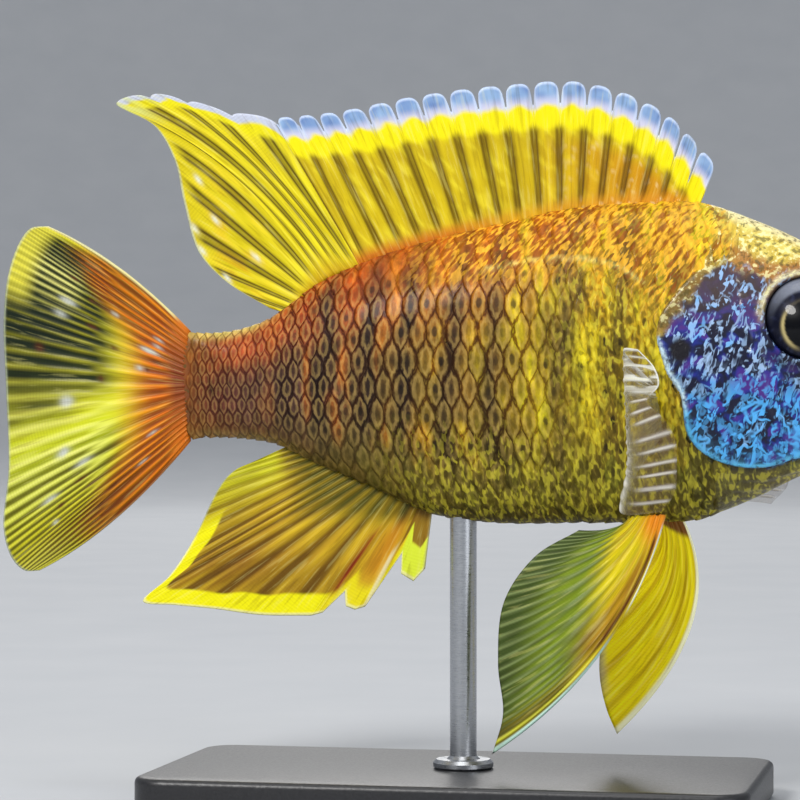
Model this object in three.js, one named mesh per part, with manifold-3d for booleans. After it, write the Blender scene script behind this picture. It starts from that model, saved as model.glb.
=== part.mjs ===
// Peacock cichlid, a still, life-size display model held by one rod on a flat base.
// Millimetres. +X runs to the snout, +Y to the fish's left side, +Z up.
// The origin is the middle of the base's underside.

import * as THREE from 'three';
import { mergeVertices } from 'three/addons/utils/BufferGeometryUtils.js';
import Module from 'manifold-3d';

const wasm = await Module();
wasm.setup();

// Gap that neighbouring pieces keep
const GAP = 0.3;

// The body at stations along its length: heights of back and belly, half width, the level of
// the greatest width, and how sharp the back's ridge and the belly's keel are (0.5 is round)
const BODY = [
  { x: -42.6, back: 70.8, belly: 54.4, half: 0.9, level: 62.7, ridge: 0.5, keel: 0.5 },
  { x: -38.0, back: 70.6, belly: 54.8, half: 2.6, level: 62.8, ridge: 0.5, keel: 0.5 },
  { x: -33.0, back: 71.4, belly: 54.6, half: 3.9, level: 63.0, ridge: 0.52, keel: 0.52 },
  { x: -28.0, back: 73.6, belly: 53.7, half: 5.0, level: 63.4, ridge: 0.56, keel: 0.55 },
  { x: -22.0, back: 77.9, belly: 50.9, half: 6.3, level: 64.0, ridge: 0.6, keel: 0.55 },
  { x: -13.0, back: 81.8, belly: 47.2, half: 8.0, level: 64.6, ridge: 0.62, keel: 0.52 },
  { x: -4.0, back: 84.4, belly: 43.4, half: 9.1, level: 64.8, ridge: 0.62, keel: 0.5 },
  { x: 6.0, back: 86.7, belly: 42.2, half: 9.9, level: 64.6, ridge: 0.62, keel: 0.48 },
  { x: 18.0, back: 89.0, belly: 42.3, half: 10.3, level: 64.2, ridge: 0.6, keel: 0.45 },
  { x: 30.0, back: 89.6, belly: 42.6, half: 10.4, level: 62.8, ridge: 0.58, keel: 0.45 },
  { x: 36.5, back: 89.3, belly: 43.1, half: 10.5, level: 61.5, ridge: 0.56, keel: 0.5 },
  { x: 44.0, back: 86.7, belly: 45.9, half: 10.2, level: 61.0, ridge: 0.52, keel: 0.54 },
  { x: 51.0, back: 83.5, belly: 49.6, half: 9.4, level: 61.2, ridge: 0.5, keel: 0.54 },
  { x: 58.0, back: 79.0, belly: 53.0, half: 7.9, level: 62.2, ridge: 0.48, keel: 0.5 },
  { x: 64.0, back: 74.0, belly: 56.0, half: 6.2, level: 63.2, ridge: 0.46, keel: 0.48 },
  { x: 68.5, back: 69.9, belly: 58.4, half: 4.7, level: 64.0, ridge: 0.46, keel: 0.46 },
  { x: 71.7, back: 67.0, belly: 60.6, half: 3.3, level: 64.4, ridge: 0.46, keel: 0.46 },
];
const TAIL_END = BODY[0].x;
const SNOUT_TIP = BODY[BODY.length - 1].x;
const SNOUT_ROUNDING = 2.4;
const FLANK_FLATNESS = 2.3;
const RINGS_ALONG_TRUNK = 20;
const RINGS_ALONG_HEAD = 18;
const HEAD_FROM = 30;
const FACETS_PER_SIDE = 13;

// Seams between the body's parts, as lines of (x, z) from above the back to below the belly
const SHOULDER_SEAM = [
  [37, 96], [36.6, 88], [35.8, 81], [33.4, 76.6], [31, 72.6], [30.5, 69.6], [31.2, 66.8],
  [32.2, 64], [33.9, 61.4], [34.4, 58.6], [34.8, 56], [36, 53.8], [38, 52.2],
  [40, 49.4], [41.8, 45], [43, 38],
];
const GILL_SEAM_FROM = 2;
const GILL_SEAM_TO = 12;
const STALK_SEAM = [[-27, 80], [-27.8, 72], [-28.4, 63], [-27.8, 55], [-27, 47]];
const GILL_COVER_FRONT = [
  [50.5, 52.6], [47.6, 55], [45.6, 60], [44.8, 66], [44.2, 72], [42.2, 76.6], [39.4, 80],
];
const GILL_COVER_RAISED = 0.35;
const GILL_COVER_THICK = 1.3;
const GILL_COVER_FOOT = [[41.4, 50.8], [46, 50.8]];

// Mouth: the slit from the snout to its corner, and the seam behind the lower jaw
const MOUTH_SLIT = [[76, 66.4], [71.6, 64.6], [66.5, 62.2], [61.8, 58.9]];
const JAW_SEAM = [[59.4, 56.8], [57.4, 53.5], [56.6, 46]];
const JAW_DROP = [0.2, -0.3];
const LIP = {
  front: 1.15, corner: 0.85, setBack: 0.5, lowerBack: 0.25, lowerOut: 0.3, steps: 11, sides: 8,
};

// Eye: its centre on the flank, its size across and deep, and how it looks forward and up
const EYE = { x: 51.9, z: 71.9, radius: 6.5, depth: 3.8, sunk: 1.7, forward: 0.16, up: 0.21 };
const ORBIT_RIM = { radius: 6.35, thick: 0.62 };
const NOSTRIL = { x: 63.4, z: 70.9, radius: 0.55, rim: 0.28, depth: 1.1 };

// Fins are thin sheets: half thickness at the root, on a ray, on the membrane between and at the
// edge, how deep the root is sunk and how far a ray stands out past the edge
const FIN = { root: 0.7, rootShare: 0.18, ray: 0.48, web: 0.27, edge: 0.2, sunk: 1.3, tooth: 0.25 };

// Stand
const BASE = { length: 90, width: 46, height: 5.5, corner: 5, bevel: 0.8 };
const ROD = { x: 0.4, radius: 2, foot: 4.5, footHeight: 1.4 };

// Curves and small helpers

/** Value of one measure of a row of stations at x, on a smooth curve through them. */
function along(stations, key, x) {
  const last = stations.length - 1;
  let i = 0;
  while (i < last - 1 && x > stations[i + 1].x) i += 1;
  const slope = (k) => {
    const a = stations[Math.max(k - 1, 0)];
    const b = stations[Math.min(k + 1, last)];
    return (b[key] - a[key]) / (b.x - a.x);
  };
  const from = stations[i];
  const to = stations[i + 1];
  const span = to.x - from.x;
  const t = THREE.MathUtils.clamp((x - from.x) / span, 0, 1);
  const t2 = t * t;
  const t3 = t2 * t;
  return (2 * t3 - 3 * t2 + 1) * from[key] + (t3 - 2 * t2 + t) * span * slope(i)
    + (3 * t2 - 2 * t3) * to[key] + (t3 - t2) * span * slope(i + 1);
}

/** Smooth line through points in the plane of the fins, given as (x, z). */
function curveXZ(points) {
  return new THREE.CatmullRomCurve3(
    points.map(([x, z]) => new THREE.Vector3(x, 0, z)),
    false,
    'centripetal',
  );
}

/** Closed solid from a geometry. */
function solidOf(geometry) {
  const bare = geometry.clone();
  bare.deleteAttribute('normal');
  bare.deleteAttribute('uv');
  const merged = mergeVertices(bare, 1e-4);
  return new wasm.Manifold(new wasm.Mesh({
    numProp: 3,
    vertProperties: Float32Array.from(merged.attributes.position.array),
    triVerts: Uint32Array.from(merged.index.array),
  }));
}

/** Largest closed piece of a solid. */
function largest(solid) {
  return solid.decompose().reduce((a, b) => (b.volume() > a.volume() ? b : a));
}

/** Geometry of a solid's largest piece. */
function geometryOf(solid) {
  const mesh = largest(solid).getMesh();
  const geometry = new THREE.BufferGeometry();
  geometry.setAttribute('position', new THREE.BufferAttribute(mesh.vertProperties, 3));
  geometry.setIndex(new THREE.BufferAttribute(mesh.triVerts, 1));
  geometry.computeVertexNormals();
  return geometry;
}

/** Straight prism across the body over an outline of (x, z) points. */
function prism(outline, low, high) {
  const shape = new THREE.Shape(outline.map(([x, z]) => new THREE.Vector2(x, z)));
  const geometry = new THREE.ExtrudeGeometry(shape, { depth: high - low, bevelEnabled: false });
  geometry.rotateX(Math.PI / 2);
  geometry.translate(0, high, 0);
  return solidOf(geometry);
}

/** A line of (x, z) points moved sideways by a distance, to its left as it runs. */
function offsetLine(line, distance) {
  return line.map(([x, z], i) => {
    const [ax, az] = line[Math.max(i - 1, 0)];
    const [bx, bz] = line[Math.min(i + 1, line.length - 1)];
    const length = Math.hypot(bx - ax, bz - az);
    return [x - ((bz - az) / length) * distance, z + ((bx - ax) / length) * distance];
  });
}

/** Geometry from a grid of rings: closed round, with its two ends closed by a fan. */
function skinOverRings(rings) {
  const around = rings[0].length;
  const positions = rings.flat().flatMap((p) => [p.x, p.y, p.z]);
  const indices = [];
  for (let i = 0; i < rings.length - 1; i += 1) {
    for (let j = 0; j < around; j += 1) {
      const a = i * around + j;
      const b = i * around + ((j + 1) % around);
      indices.push(a, b, b + around, a, b + around, a + around);
    }
  }
  [0, rings.length - 1].forEach((end) => {
    const middle = rings[end].reduce((sum, p) => sum.add(p), new THREE.Vector3());
    middle.divideScalar(around);
    const centre = positions.length / 3;
    positions.push(middle.x, middle.y, middle.z);
    for (let j = 0; j < around; j += 1) {
      const a = end * around + j;
      const b = end * around + ((j + 1) % around);
      indices.push(...(end === 0 ? [centre, b, a] : [centre, a, b]));
    }
  });
  return facingOut(positions, indices);
}

/** Indexed geometry whose faces point out, turned round if its volume is negative. */
function facingOut(positions, indices) {
  const p = (k) => new THREE.Vector3().fromArray(positions, indices[k] * 3);
  let volume = 0;
  for (let k = 0; k < indices.length; k += 3) volume += p(k).dot(p(k + 1).cross(p(k + 2)));
  if (volume < 0) {
    for (let k = 0; k < indices.length; k += 3) {
      [indices[k + 1], indices[k + 2]] = [indices[k + 2], indices[k + 1]];
    }
  }
  const geometry = new THREE.BufferGeometry();
  geometry.setAttribute('position', new THREE.Float32BufferAttribute(positions, 3));
  geometry.setIndex(indices);
  geometry.computeVertexNormals();
  return geometry;
}

/** Round bar along points, with a radius at each, tapered ends and a few sides. */
function barAlong(points, radii, sides) {
  const rings = points.map((point, i) => {
    const before = points[Math.max(i - 1, 0)];
    const after = points[Math.min(i + 1, points.length - 1)];
    const ahead = after.clone().sub(before).normalize();
    const up = new THREE.Vector3(0, 0, 1).addScaledVector(ahead, -ahead.z).normalize();
    const side = new THREE.Vector3().crossVectors(ahead, up);
    return Array.from({ length: sides }, (_, j) => {
      const angle = (2 * Math.PI * j) / sides;
      return point.clone()
        .addScaledVector(up, Math.cos(angle) * radii[i])
        .addScaledVector(side, Math.sin(angle) * radii[i]);
    });
  });
  return solidOf(skinOverRings(rings));
}

// Body

/** Half width of the body at a height, for a place along its length. */
function halfWidthAt(x, z, grow = 0) {
  const level = along(BODY, 'level', x);
  const above = z > level;
  const reach = above ? along(BODY, 'back', x) - level : level - along(BODY, 'belly', x);
  const share = Math.min(Math.abs(z - level) / (reach + grow), 1);
  const power = along(BODY, above ? 'ridge' : 'keel', x);
  const half = along(BODY, 'half', x) + grow;
  return half * (1 - share ** FLANK_FLATNESS) ** power;
}

/** One ring of the body's surface, from the belly up one side and down the other. */
function bodyRing(x, grow, rounding) {
  const level = along(BODY, 'level', x);
  const back = (along(BODY, 'back', x) + grow - level) * rounding;
  const belly = (level - along(BODY, 'belly', x) + grow) * rounding;
  const half = (along(BODY, 'half', x) + grow) * rounding;
  const ring = [];
  for (let j = 0; j < 2 * FACETS_PER_SIDE; j += 1) {
    const side = j < FACETS_PER_SIDE ? -1 : 1;
    const turn = (j % FACETS_PER_SIDE) / FACETS_PER_SIDE;
    const rise = Math.sin(Math.PI * (turn - 0.5)) * -side;
    const power = along(BODY, rise > 0 ? 'ridge' : 'keel', x);
    const width = half * Math.max(1 - Math.abs(rise) ** FLANK_FLATNESS, 0) ** power;
    ring.push(new THREE.Vector3(x, side * width, level + rise * (rise > 0 ? back : belly)));
  }
  return ring;
}

/** The whole body as one solid, grown outwards by a distance. */
function bodySolid(grow) {
  const rings = [];
  const start = TAIL_END - grow;
  const round = SNOUT_TIP - SNOUT_ROUNDING;
  for (let i = 0; i <= RINGS_ALONG_TRUNK; i += 1) {
    rings.push(bodyRing(start + ((HEAD_FROM - start) * i) / RINGS_ALONG_TRUNK, grow, 1));
  }
  for (let i = 1; i <= RINGS_ALONG_HEAD; i += 1) {
    rings.push(bodyRing(HEAD_FROM + ((round - HEAD_FROM) * i) / RINGS_ALONG_HEAD, grow, 1));
  }
  [0.45, 0.75, 0.93].forEach((share) => {
    rings.push(bodyRing(round + (SNOUT_ROUNDING + grow) * share, grow, Math.sqrt(1 - share ** 2)));
  });
  return solidOf(skinOverRings(rings));
}

const body = bodySolid(0);
const bodyClear = bodySolid(GAP);
const WIDE = 40;
const FAR = 90;

const headRegion = [...SHOULDER_SEAM, [FAR, 38], [FAR, 96]];
const trunkRegion = [
  ...offsetLine(SHOULDER_SEAM, -GAP),
  ...[...STALK_SEAM].reverse(),
];
const stalkRegion = [...offsetLine(STALK_SEAM, -GAP), [-60, 47], [-60, 80]];

function trunk() {
  return body.intersect(prism(trunkRegion, -WIDE, WIDE));
}

function tailStalk() {
  return body.intersect(prism(stalkRegion, -WIDE, WIDE));
}

// Head

/** Placed copy of a geometry on the eye's axis, for one side of the head. */
function onEyeAxis(geometry, side, inwards) {
  const axis = new THREE.Vector3(EYE.forward, side, EYE.up).normalize();
  const turn = new THREE.Quaternion().setFromUnitVectors(new THREE.Vector3(0, 1, 0), axis);
  const out = halfWidthAt(EYE.x, EYE.z) - inwards;
  return geometry.applyQuaternion(turn).translate(EYE.x, side * out, EYE.z);
}

/** The eyeball, grown by a distance. */
function eyeball(side, grow) {
  const ball = new THREE.SphereGeometry(1, 22, 11);
  const across = EYE.radius + grow;
  ball.scale(across, EYE.depth + grow, across);
  return solidOf(onEyeAxis(ball, side, EYE.sunk));
}

function orbitRim(side) {
  const ring = new THREE.TorusGeometry(ORBIT_RIM.radius, ORBIT_RIM.thick, 6, 22);
  ring.rotateX(Math.PI / 2);
  return solidOf(onEyeAxis(ring, side, 0.05));
}

/** Frame on the flank of the snout where a nostril sits. */
function onNostril(geometry, side) {
  const out = halfWidthAt(NOSTRIL.x, NOSTRIL.z);
  const lean = halfWidthAt(NOSTRIL.x + 1, NOSTRIL.z) - out;
  const rise = halfWidthAt(NOSTRIL.x, NOSTRIL.z + 1) - out;
  const axis = new THREE.Vector3(-lean, side, -rise).normalize();
  const turn = new THREE.Quaternion().setFromUnitVectors(new THREE.Vector3(0, 1, 0), axis);
  return geometry.applyQuaternion(turn).translate(NOSTRIL.x, side * out, NOSTRIL.z);
}

function nostrilRim(side) {
  const ring = new THREE.TorusGeometry(NOSTRIL.radius + 0.2, NOSTRIL.rim, 5, 10);
  return solidOf(onNostril(ring.rotateX(Math.PI / 2), side));
}

function nostrilPit(side) {
  return solidOf(onNostril(
    new THREE.CylinderGeometry(NOSTRIL.radius, NOSTRIL.radius * 0.6, 2 * NOSTRIL.depth, 10),
    side,
  ));
}

/** A lip round the snout, above or below the slit of the mouth, thinned out to its corners. */
function lip(above) {
  const slit = curveXZ(MOUTH_SLIT.slice(1));
  const points = [];
  const radii = [];
  for (let i = -LIP.steps; i <= LIP.steps; i += 1) {
    const share = Math.abs(i) / LIP.steps;
    const at = slit.getPoint(share ** 1.5);
    const fade = Math.sqrt(Math.max(1 - share ** 4, 0.06));
    const radius = THREE.MathUtils.lerp(LIP.front, LIP.corner, share) * fade;
    const x = Math.min(at.x, SNOUT_TIP - LIP.setBack) - (above ? 0 : LIP.lowerBack);
    const z = at.z + (above ? 0.72 : -0.78) * radius;
    const turned = Math.sqrt(1 - (1 - share) ** 4);
    const y = Math.sign(i) * (halfWidthAt(x, z) + (above ? 0 : LIP.lowerOut)) * turned;
    points.push(new THREE.Vector3(x, y, z));
    radii.push(radius);
  }
  return barAlong(points, radii, LIP.sides);
}

const jawCut = [...MOUTH_SLIT, ...JAW_SEAM, [FAR, 46], [FAR, 66.4]];
const jawRegion = jawCut.map(([x, z]) => [x + JAW_DROP[0], z + JAW_DROP[1]]);

/** Outline of a gill cover: its rear edge runs along the shoulder seam. */
function gillCoverOutline(grow) {
  const rear = SHOULDER_SEAM.slice(GILL_SEAM_FROM, GILL_SEAM_TO + 1);
  const front = offsetLine([...GILL_COVER_FOOT, ...GILL_COVER_FRONT], -grow);
  return [...offsetLine(rear, -grow), ...front];
}

function gillCover(side) {
  const shell = bodySolid(GILL_COVER_RAISED).subtract(bodySolid(GILL_COVER_RAISED - GILL_COVER_THICK));
  const low = side < 0 ? -WIDE : 3;
  return largest(shell.intersect(prism(gillCoverOutline(0), low, low + WIDE - 3)));
}

function head() {
  const gillRoom = body.add(bodySolid(1))
    .subtract(bodySolid(GILL_COVER_RAISED - GILL_COVER_THICK - GAP))
    .intersect(prism(gillCoverOutline(GAP), -WIDE, WIDE));
  let solid = body.add(lip(true));
  [-1, 1].forEach((side) => {
    solid = solid.add(orbitRim(side)).add(nostrilRim(side));
  });
  solid = solid.intersect(prism(headRegion, -WIDE, WIDE));
  solid = solid.subtract(prism(jawCut, -WIDE, WIDE)).subtract(gillRoom);
  [-1, 1].forEach((side) => {
    solid = solid.subtract(eyeball(side, GAP)).subtract(nostrilPit(side));
  });
  return solid;
}

function lowerJaw() {
  return body.add(lip(false)).intersect(prism(jawRegion, -WIDE, WIDE));
}

// Fins

/**
 * Thin closed sheet over a grid of columns, each a list of points from root to edge with a half
 * thickness. Both faces are split into triangles alike.
 */
function finSheet(columns, rows) {
  const point = (i, j) => {
    const c = columns[THREE.MathUtils.clamp(i, 0, columns.length - 1)];
    return c.at(THREE.MathUtils.clamp(j, 0, rows) / rows);
  };
  const positions = [];
  const count = columns.length;
  for (let i = 0; i < count; i += 1) {
    for (let j = 0; j <= rows; j += 1) {
      const here = point(i, j);
      const across = point(i + 1, j).sub(point(i - 1, j));
      const out = point(i, j + 1).sub(point(i, j - 1));
      const normal = across.cross(out).normalize();
      const half = columns[i].half(j / rows);
      const top = here.clone().addScaledVector(normal, half);
      const under = here.clone().addScaledVector(normal, -half);
      positions.push(top.x, top.y, top.z, under.x, under.y, under.z);
    }
  }
  const top = (i, j) => 2 * (i * (rows + 1) + j);
  const under = (i, j) => top(i, j) + 1;
  const indices = [];
  for (let i = 0; i < count - 1; i += 1) {
    for (let j = 0; j < rows; j += 1) {
      indices.push(top(i, j), top(i + 1, j), top(i + 1, j + 1));
      indices.push(top(i, j), top(i + 1, j + 1), top(i, j + 1));
      indices.push(under(i, j), under(i + 1, j + 1), under(i + 1, j));
      indices.push(under(i, j), under(i, j + 1), under(i + 1, j + 1));
    }
  }
  const rim = [];
  for (let i = 0; i < count - 1; i += 1) rim.push([i, 0, i + 1, 0]);
  for (let j = 0; j < rows; j += 1) rim.push([count - 1, j, count - 1, j + 1]);
  for (let i = count - 1; i > 0; i -= 1) rim.push([i, rows, i - 1, rows]);
  for (let j = rows; j > 0; j -= 1) rim.push([0, j, 0, j - 1]);
  rim.forEach(([i, j, k, m]) => {
    indices.push(top(i, j), under(i, j), under(k, m));
    indices.push(top(i, j), under(k, m), top(k, m));
  });
  return solidOf(facingOut(positions, indices));
}

/** Half thickness from a column's root to its edge. */
function finHalf(isRay) {
  const middle = isRay ? FIN.ray : FIN.web;
  return (v) => {
    const root = Math.max(1 - v / FIN.rootShare, 0);
    return THREE.MathUtils.lerp(middle, FIN.edge, v ** 2 * 0.8) + (FIN.root - middle) * root;
  };
}

/** A column of a fin from root to edge, bent by a bow that is widest at half way. */
function finColumn(root, edge, bow, isRay) {
  return {
    at: (v) => root.clone().lerp(edge, v).addScaledVector(bow, 4 * v * (1 - v)),
    half: finHalf(isRay),
  };
}

/** Columns of a fin's soft part, at even steps from 0 to 1: a raised ray, then two of web. */
function rayColumns(rays, columnAt) {
  const count = rays * 3;
  return Array.from({ length: count + 1 }, (_, i) => columnAt(i / count, i % 3 === 0));
}

/** The point of an edge where a column ends, a little further out at a ray. */
function edgePoint(edge, t, root, isRay) {
  const point = edge.getPoint(t);
  const out = point.clone().sub(root).normalize();
  return isRay ? point.addScaledVector(out, FIN.tooth) : point;
}

// The spines' flags: where the columns of one spine stand in its pitch, and how far below the
// crest each ends, from the spine over the flag's round top to the notch behind it
const FLAG = [
  { step: 0, below: 0.75, isRay: true },
  { step: 0.3, below: 0, isRay: false },
  { step: 0.7, below: 0.35, isRay: false },
  { step: 0.9, below: 3.2, isRay: false },
];
const DORSAL = {
  spines: 17,
  softRays: 10,
  front: 35.4,
  softFrom: -14,
  end: -26.4,
  softBend: { most: 3.4, at: 0.4, before: 0.4, after: 0.28 },
  crest: [
    [37.4, 95], [28.9, 103.8], [17.4, 107.7], [4.3, 107.1], [-8, 105.8], [-20.8, 103.3],
    [-29, 103.2],
  ],
  softEdge: [
    [-29, 103.3], [-36, 104.4], [-43, 106.4], [-49, 107.3], [-53.7, 105.9], [-47.6, 102.3],
    [-44.4, 97], [-42.9, 90.5], [-40.6, 83], [-36.5, 78.6], [-29.6, 74.4],
  ],
};

/** Smooth bump along a fin: its most at one place, falling to nothing before and after it. */
function bump({ most, at, before, after }, t) {
  const share = Math.min(Math.abs(t - at) / (t < at ? before : after), 1);
  return most * Math.cos((Math.PI / 2) * share) ** 2;
}

function dorsalFin() {
  const crest = curveXZ(DORSAL.crest);
  const softEdge = curveXZ(DORSAL.softEdge);
  const columns = [];
  const rootAt = (x) => new THREE.Vector3(x, 0, along(BODY, 'back', x) - FIN.sunk);
  const pitch = (DORSAL.front - DORSAL.softFrom) / DORSAL.spines;
  for (let i = 0; i < DORSAL.spines; i += 1) {
    const depth = 1 - 0.5 * Math.abs(i / DORSAL.spines - 0.45);
    FLAG.forEach(({ step, below, isRay }) => {
      const root = rootAt(DORSAL.front - pitch * (i + step));
      const tip = crest.getPoint((i + step) / (DORSAL.spines + 1));
      const edge = tip.clone().lerp(root, (below * depth) / tip.distanceTo(root));
      columns.push(finColumn(root, edge, new THREE.Vector3(), isRay));
    });
  }
  columns.push(...rayColumns(DORSAL.softRays, (t, isRay) => {
    const root = rootAt(THREE.MathUtils.lerp(DORSAL.softFrom, DORSAL.end, t));
    const bend = bump(DORSAL.softBend, t);
    const bow = new THREE.Vector3(0.4 * bend, 0, bend);
    return finColumn(root, edgePoint(softEdge, t, root, isRay), bow, isRay);
  }));
  return finSheet(columns, 5).subtract(bodyClear);
}

// The anal fin's spines end in tabs: where each column stands on the belly and where it ends
const ANAL = {
  tabs: [
    { root: -4.2, edge: [-5.6, 33.8], isRay: true },
    { root: -4.7, edge: [-7.4, 33.4], isRay: false },
    { root: -5.2, edge: [-9.3, 34.7], isRay: false },
    { root: -5.7, edge: [-9, 37.4], isRay: false },
    { root: -6.2, edge: [-14.6, 29.4], isRay: true },
    { root: -6.8, edge: [-16.2, 28.9], isRay: false },
    { root: -7.3, edge: [-17.6, 29.4], isRay: false },
    { root: -7.8, edge: [-17.8, 31.6], isRay: false },
    { root: -8.4, edge: [-21.2, 28.4], isRay: true },
    { root: -9.1, edge: [-22.2, 28.1], isRay: false },
  ],
  softFrom: -9.8,
  end: -25.6,
  rays: 9,
  edge: [
    [-23, 27.9], [-31, 27.7], [-41, 28.5], [-49.6, 29.6], [-44.4, 35.2], [-40.2, 42.6],
    [-37.6, 48], [-33, 50.9],
  ],
};

function analFin() {
  const edge = curveXZ(ANAL.edge);
  const rootAt = (x) => new THREE.Vector3(x, 0, along(BODY, 'belly', x) + FIN.sunk);
  const columns = ANAL.tabs.map(({ root, edge: [x, z], isRay }) => (
    finColumn(rootAt(root), new THREE.Vector3(x, 0, z), new THREE.Vector3(), isRay)
  ));
  columns.push(...rayColumns(ANAL.rays, (t, isRay) => {
    const root = rootAt(THREE.MathUtils.lerp(ANAL.softFrom, ANAL.end, t));
    return finColumn(root, edgePoint(edge, t, root, isRay), new THREE.Vector3(), isRay);
  }));
  return finSheet(columns, 5).subtract(bodyClear);
}

const CAUDAL = {
  root: -41.8,
  top: 70.9,
  bottom: 54.2,
  rays: 16,
  wave: 1.1,
  edge: [
    [-65.6, 87.6], [-68.6, 87.8], [-70.9, 85.6], [-71.8, 76], [-71.4, 62], [-71, 50],
    [-71.9, 38], [-70.6, 33.9], [-66.6, 33.6],
  ],
};

function caudalFin() {
  const edge = curveXZ(CAUDAL.edge);
  return finSheet(rayColumns(CAUDAL.rays, (t, isRay) => {
    const z = THREE.MathUtils.lerp(CAUDAL.top, CAUDAL.bottom, t);
    const root = new THREE.Vector3(CAUDAL.root, 0, z);
    const sway = new THREE.Vector3(0, CAUDAL.wave * Math.sin(2 * Math.PI * t), 0);
    return finColumn(root, edgePoint(edge, t, root, isRay), sway, isRay);
  }), 6).subtract(bodyClear);
}

// Pectoral fins: each is a fan cupped towards the head, from its root on the flank out to a
// fold and on to its edge. Points are (x, outwards, z).
const PECTORAL_ROOT = { top: [30.4, 62.4], bottom: [31.9, 56.4] };
const PECTORAL = {
  right: {
    fold: [[27.2, 17, 67.6], [27.2, 19, 63], [28.2, 20, 56.4], [27.6, 19, 50], [26.6, 17, 45]],
    edge: [[30.6, 22, 67.2], [32.4, 24.4, 62.6], [34.8, 26, 57], [35.2, 25, 51.6], [33.6, 21, 46]],
  },
  left: {
    fold: [[30, 16, 65.4], [32.6, 18, 60.4], [35.6, 18.6, 55], [36.6, 17.4, 50], [35.6, 15, 46.6]],
    edge: [[33, 22, 63.6], [39, 25.4, 58.6], [44.2, 26, 53], [46.8, 23.6, 48], [44.6, 18.6, 44.6]],
  },
};
const PECTORAL_RAYS = 11;

function pectoralFin(side, shape) {
  const through = (points) => new THREE.CatmullRomCurve3(
    points.map(([x, out, z]) => new THREE.Vector3(x, side * out, z)),
  );
  const fold = through(shape.fold);
  const edge = through(shape.edge);
  return finSheet(rayColumns(PECTORAL_RAYS, (t, isRay) => {
    const x = THREE.MathUtils.lerp(PECTORAL_ROOT.top[0], PECTORAL_ROOT.bottom[0], t);
    const z = THREE.MathUtils.lerp(PECTORAL_ROOT.top[1], PECTORAL_ROOT.bottom[1], t);
    const root = new THREE.Vector3(x, side * (halfWidthAt(x, z) - FIN.sunk), z);
    const bend = fold.getPoint(t);
    const line = new THREE.CatmullRomCurve3([root, bend, edgePoint(edge, t, bend, isRay)]);
    return { at: (v) => line.getPoint(v), half: finHalf(isRay) };
  }), 6).subtract(bodyClear);
}

// Pelvic fins: a strong leading edge, a long pointed tip and a fan back to the belly. Points
// are (x, outwards, z); the bow bends the rays forwards.
const PELVIC = {
  right: {
    rootFront: [31.4, 3.6, 43], rootRear: [26.4, 3, 43], bow: [3.6, 0.6, -2.4],
    edge: [[6.5, 9.5, 8.8], [8, 9, 14.6], [7.2, 8.6, 22], [8, 8, 31], [12.4, 6.6, 37.6], [18.6, 5, 41.4]],
  },
  left: {
    rootFront: [32.2, 3.6, 43], rootRear: [27.4, 3, 43], bow: [6.8, 0.8, 0.4],
    edge: [[22.4, 8, 10.2], [20.8, 8, 14], [19.8, 7.6, 19.4], [20.4, 7, 25], [23, 5.6, 32], [26, 4.6, 38]],
  },
};
const PELVIC_RAYS = 7;

function pelvicFin(side, shape) {
  const place = ([x, out, z]) => new THREE.Vector3(x, side * out, z);
  const edge = new THREE.CatmullRomCurve3(shape.edge.map(place));
  const front = place(shape.rootFront);
  const rear = place(shape.rootRear);
  return finSheet(rayColumns(PELVIC_RAYS, (t, isRay) => {
    const root = front.clone().lerp(rear, t).add(new THREE.Vector3(0, 0, FIN.sunk));
    const bow = place(shape.bow).multiplyScalar(1 - 0.6 * t);
    return finColumn(root, edgePoint(edge, t, root, isRay), bow, isRay);
  }), 6).subtract(bodyClear);
}

// Stand

function standBase() {
  const long = BASE.length / 2 - BASE.bevel;
  const wide = BASE.width / 2 - BASE.bevel;
  const r = BASE.corner;
  const shape = new THREE.Shape();
  shape.moveTo(-long + r, -wide);
  shape.absarc(long - r, -wide + r, r, -Math.PI / 2, 0);
  shape.absarc(long - r, wide - r, r, 0, Math.PI / 2);
  shape.absarc(-long + r, wide - r, r, Math.PI / 2, Math.PI);
  shape.absarc(-long + r, -wide + r, r, Math.PI, Math.PI * 1.5);
  const geometry = new THREE.ExtrudeGeometry(shape, {
    depth: BASE.height - 2 * BASE.bevel,
    bevelThickness: BASE.bevel,
    bevelSize: BASE.bevel,
    bevelSegments: 1,
    curveSegments: 4,
  });
  geometry.translate(0, 0, BASE.bevel);
  return solidOf(geometry);
}

function standRod() {
  const top = along(BODY, 'belly', ROD.x) + 3;
  const profile = [
    [0, BASE.height], [ROD.foot, BASE.height], [ROD.foot, BASE.height + ROD.footHeight * 0.6],
    [ROD.foot - 0.6, BASE.height + ROD.footHeight], [ROD.radius, BASE.height + ROD.footHeight],
    [ROD.radius, top], [0, top],
  ].map(([r, z]) => new THREE.Vector2(r, z));
  const geometry = new THREE.LatheGeometry(profile, 20);
  geometry.rotateX(Math.PI / 2);
  geometry.translate(ROD.x, 0, 0);
  return solidOf(geometry).subtract(bodyClear);
}

// The scene graph, one named mesh for each part

const group = new THREE.Group();
group.name = 'peacock_cichlid_model';

function part(name, solid, color, roughness, metalness = 0) {
  const material = new THREE.MeshStandardMaterial({ color, roughness, metalness });
  const mesh = new THREE.Mesh(geometryOf(solid), material);
  mesh.name = name;
  group.add(mesh);
}

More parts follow.
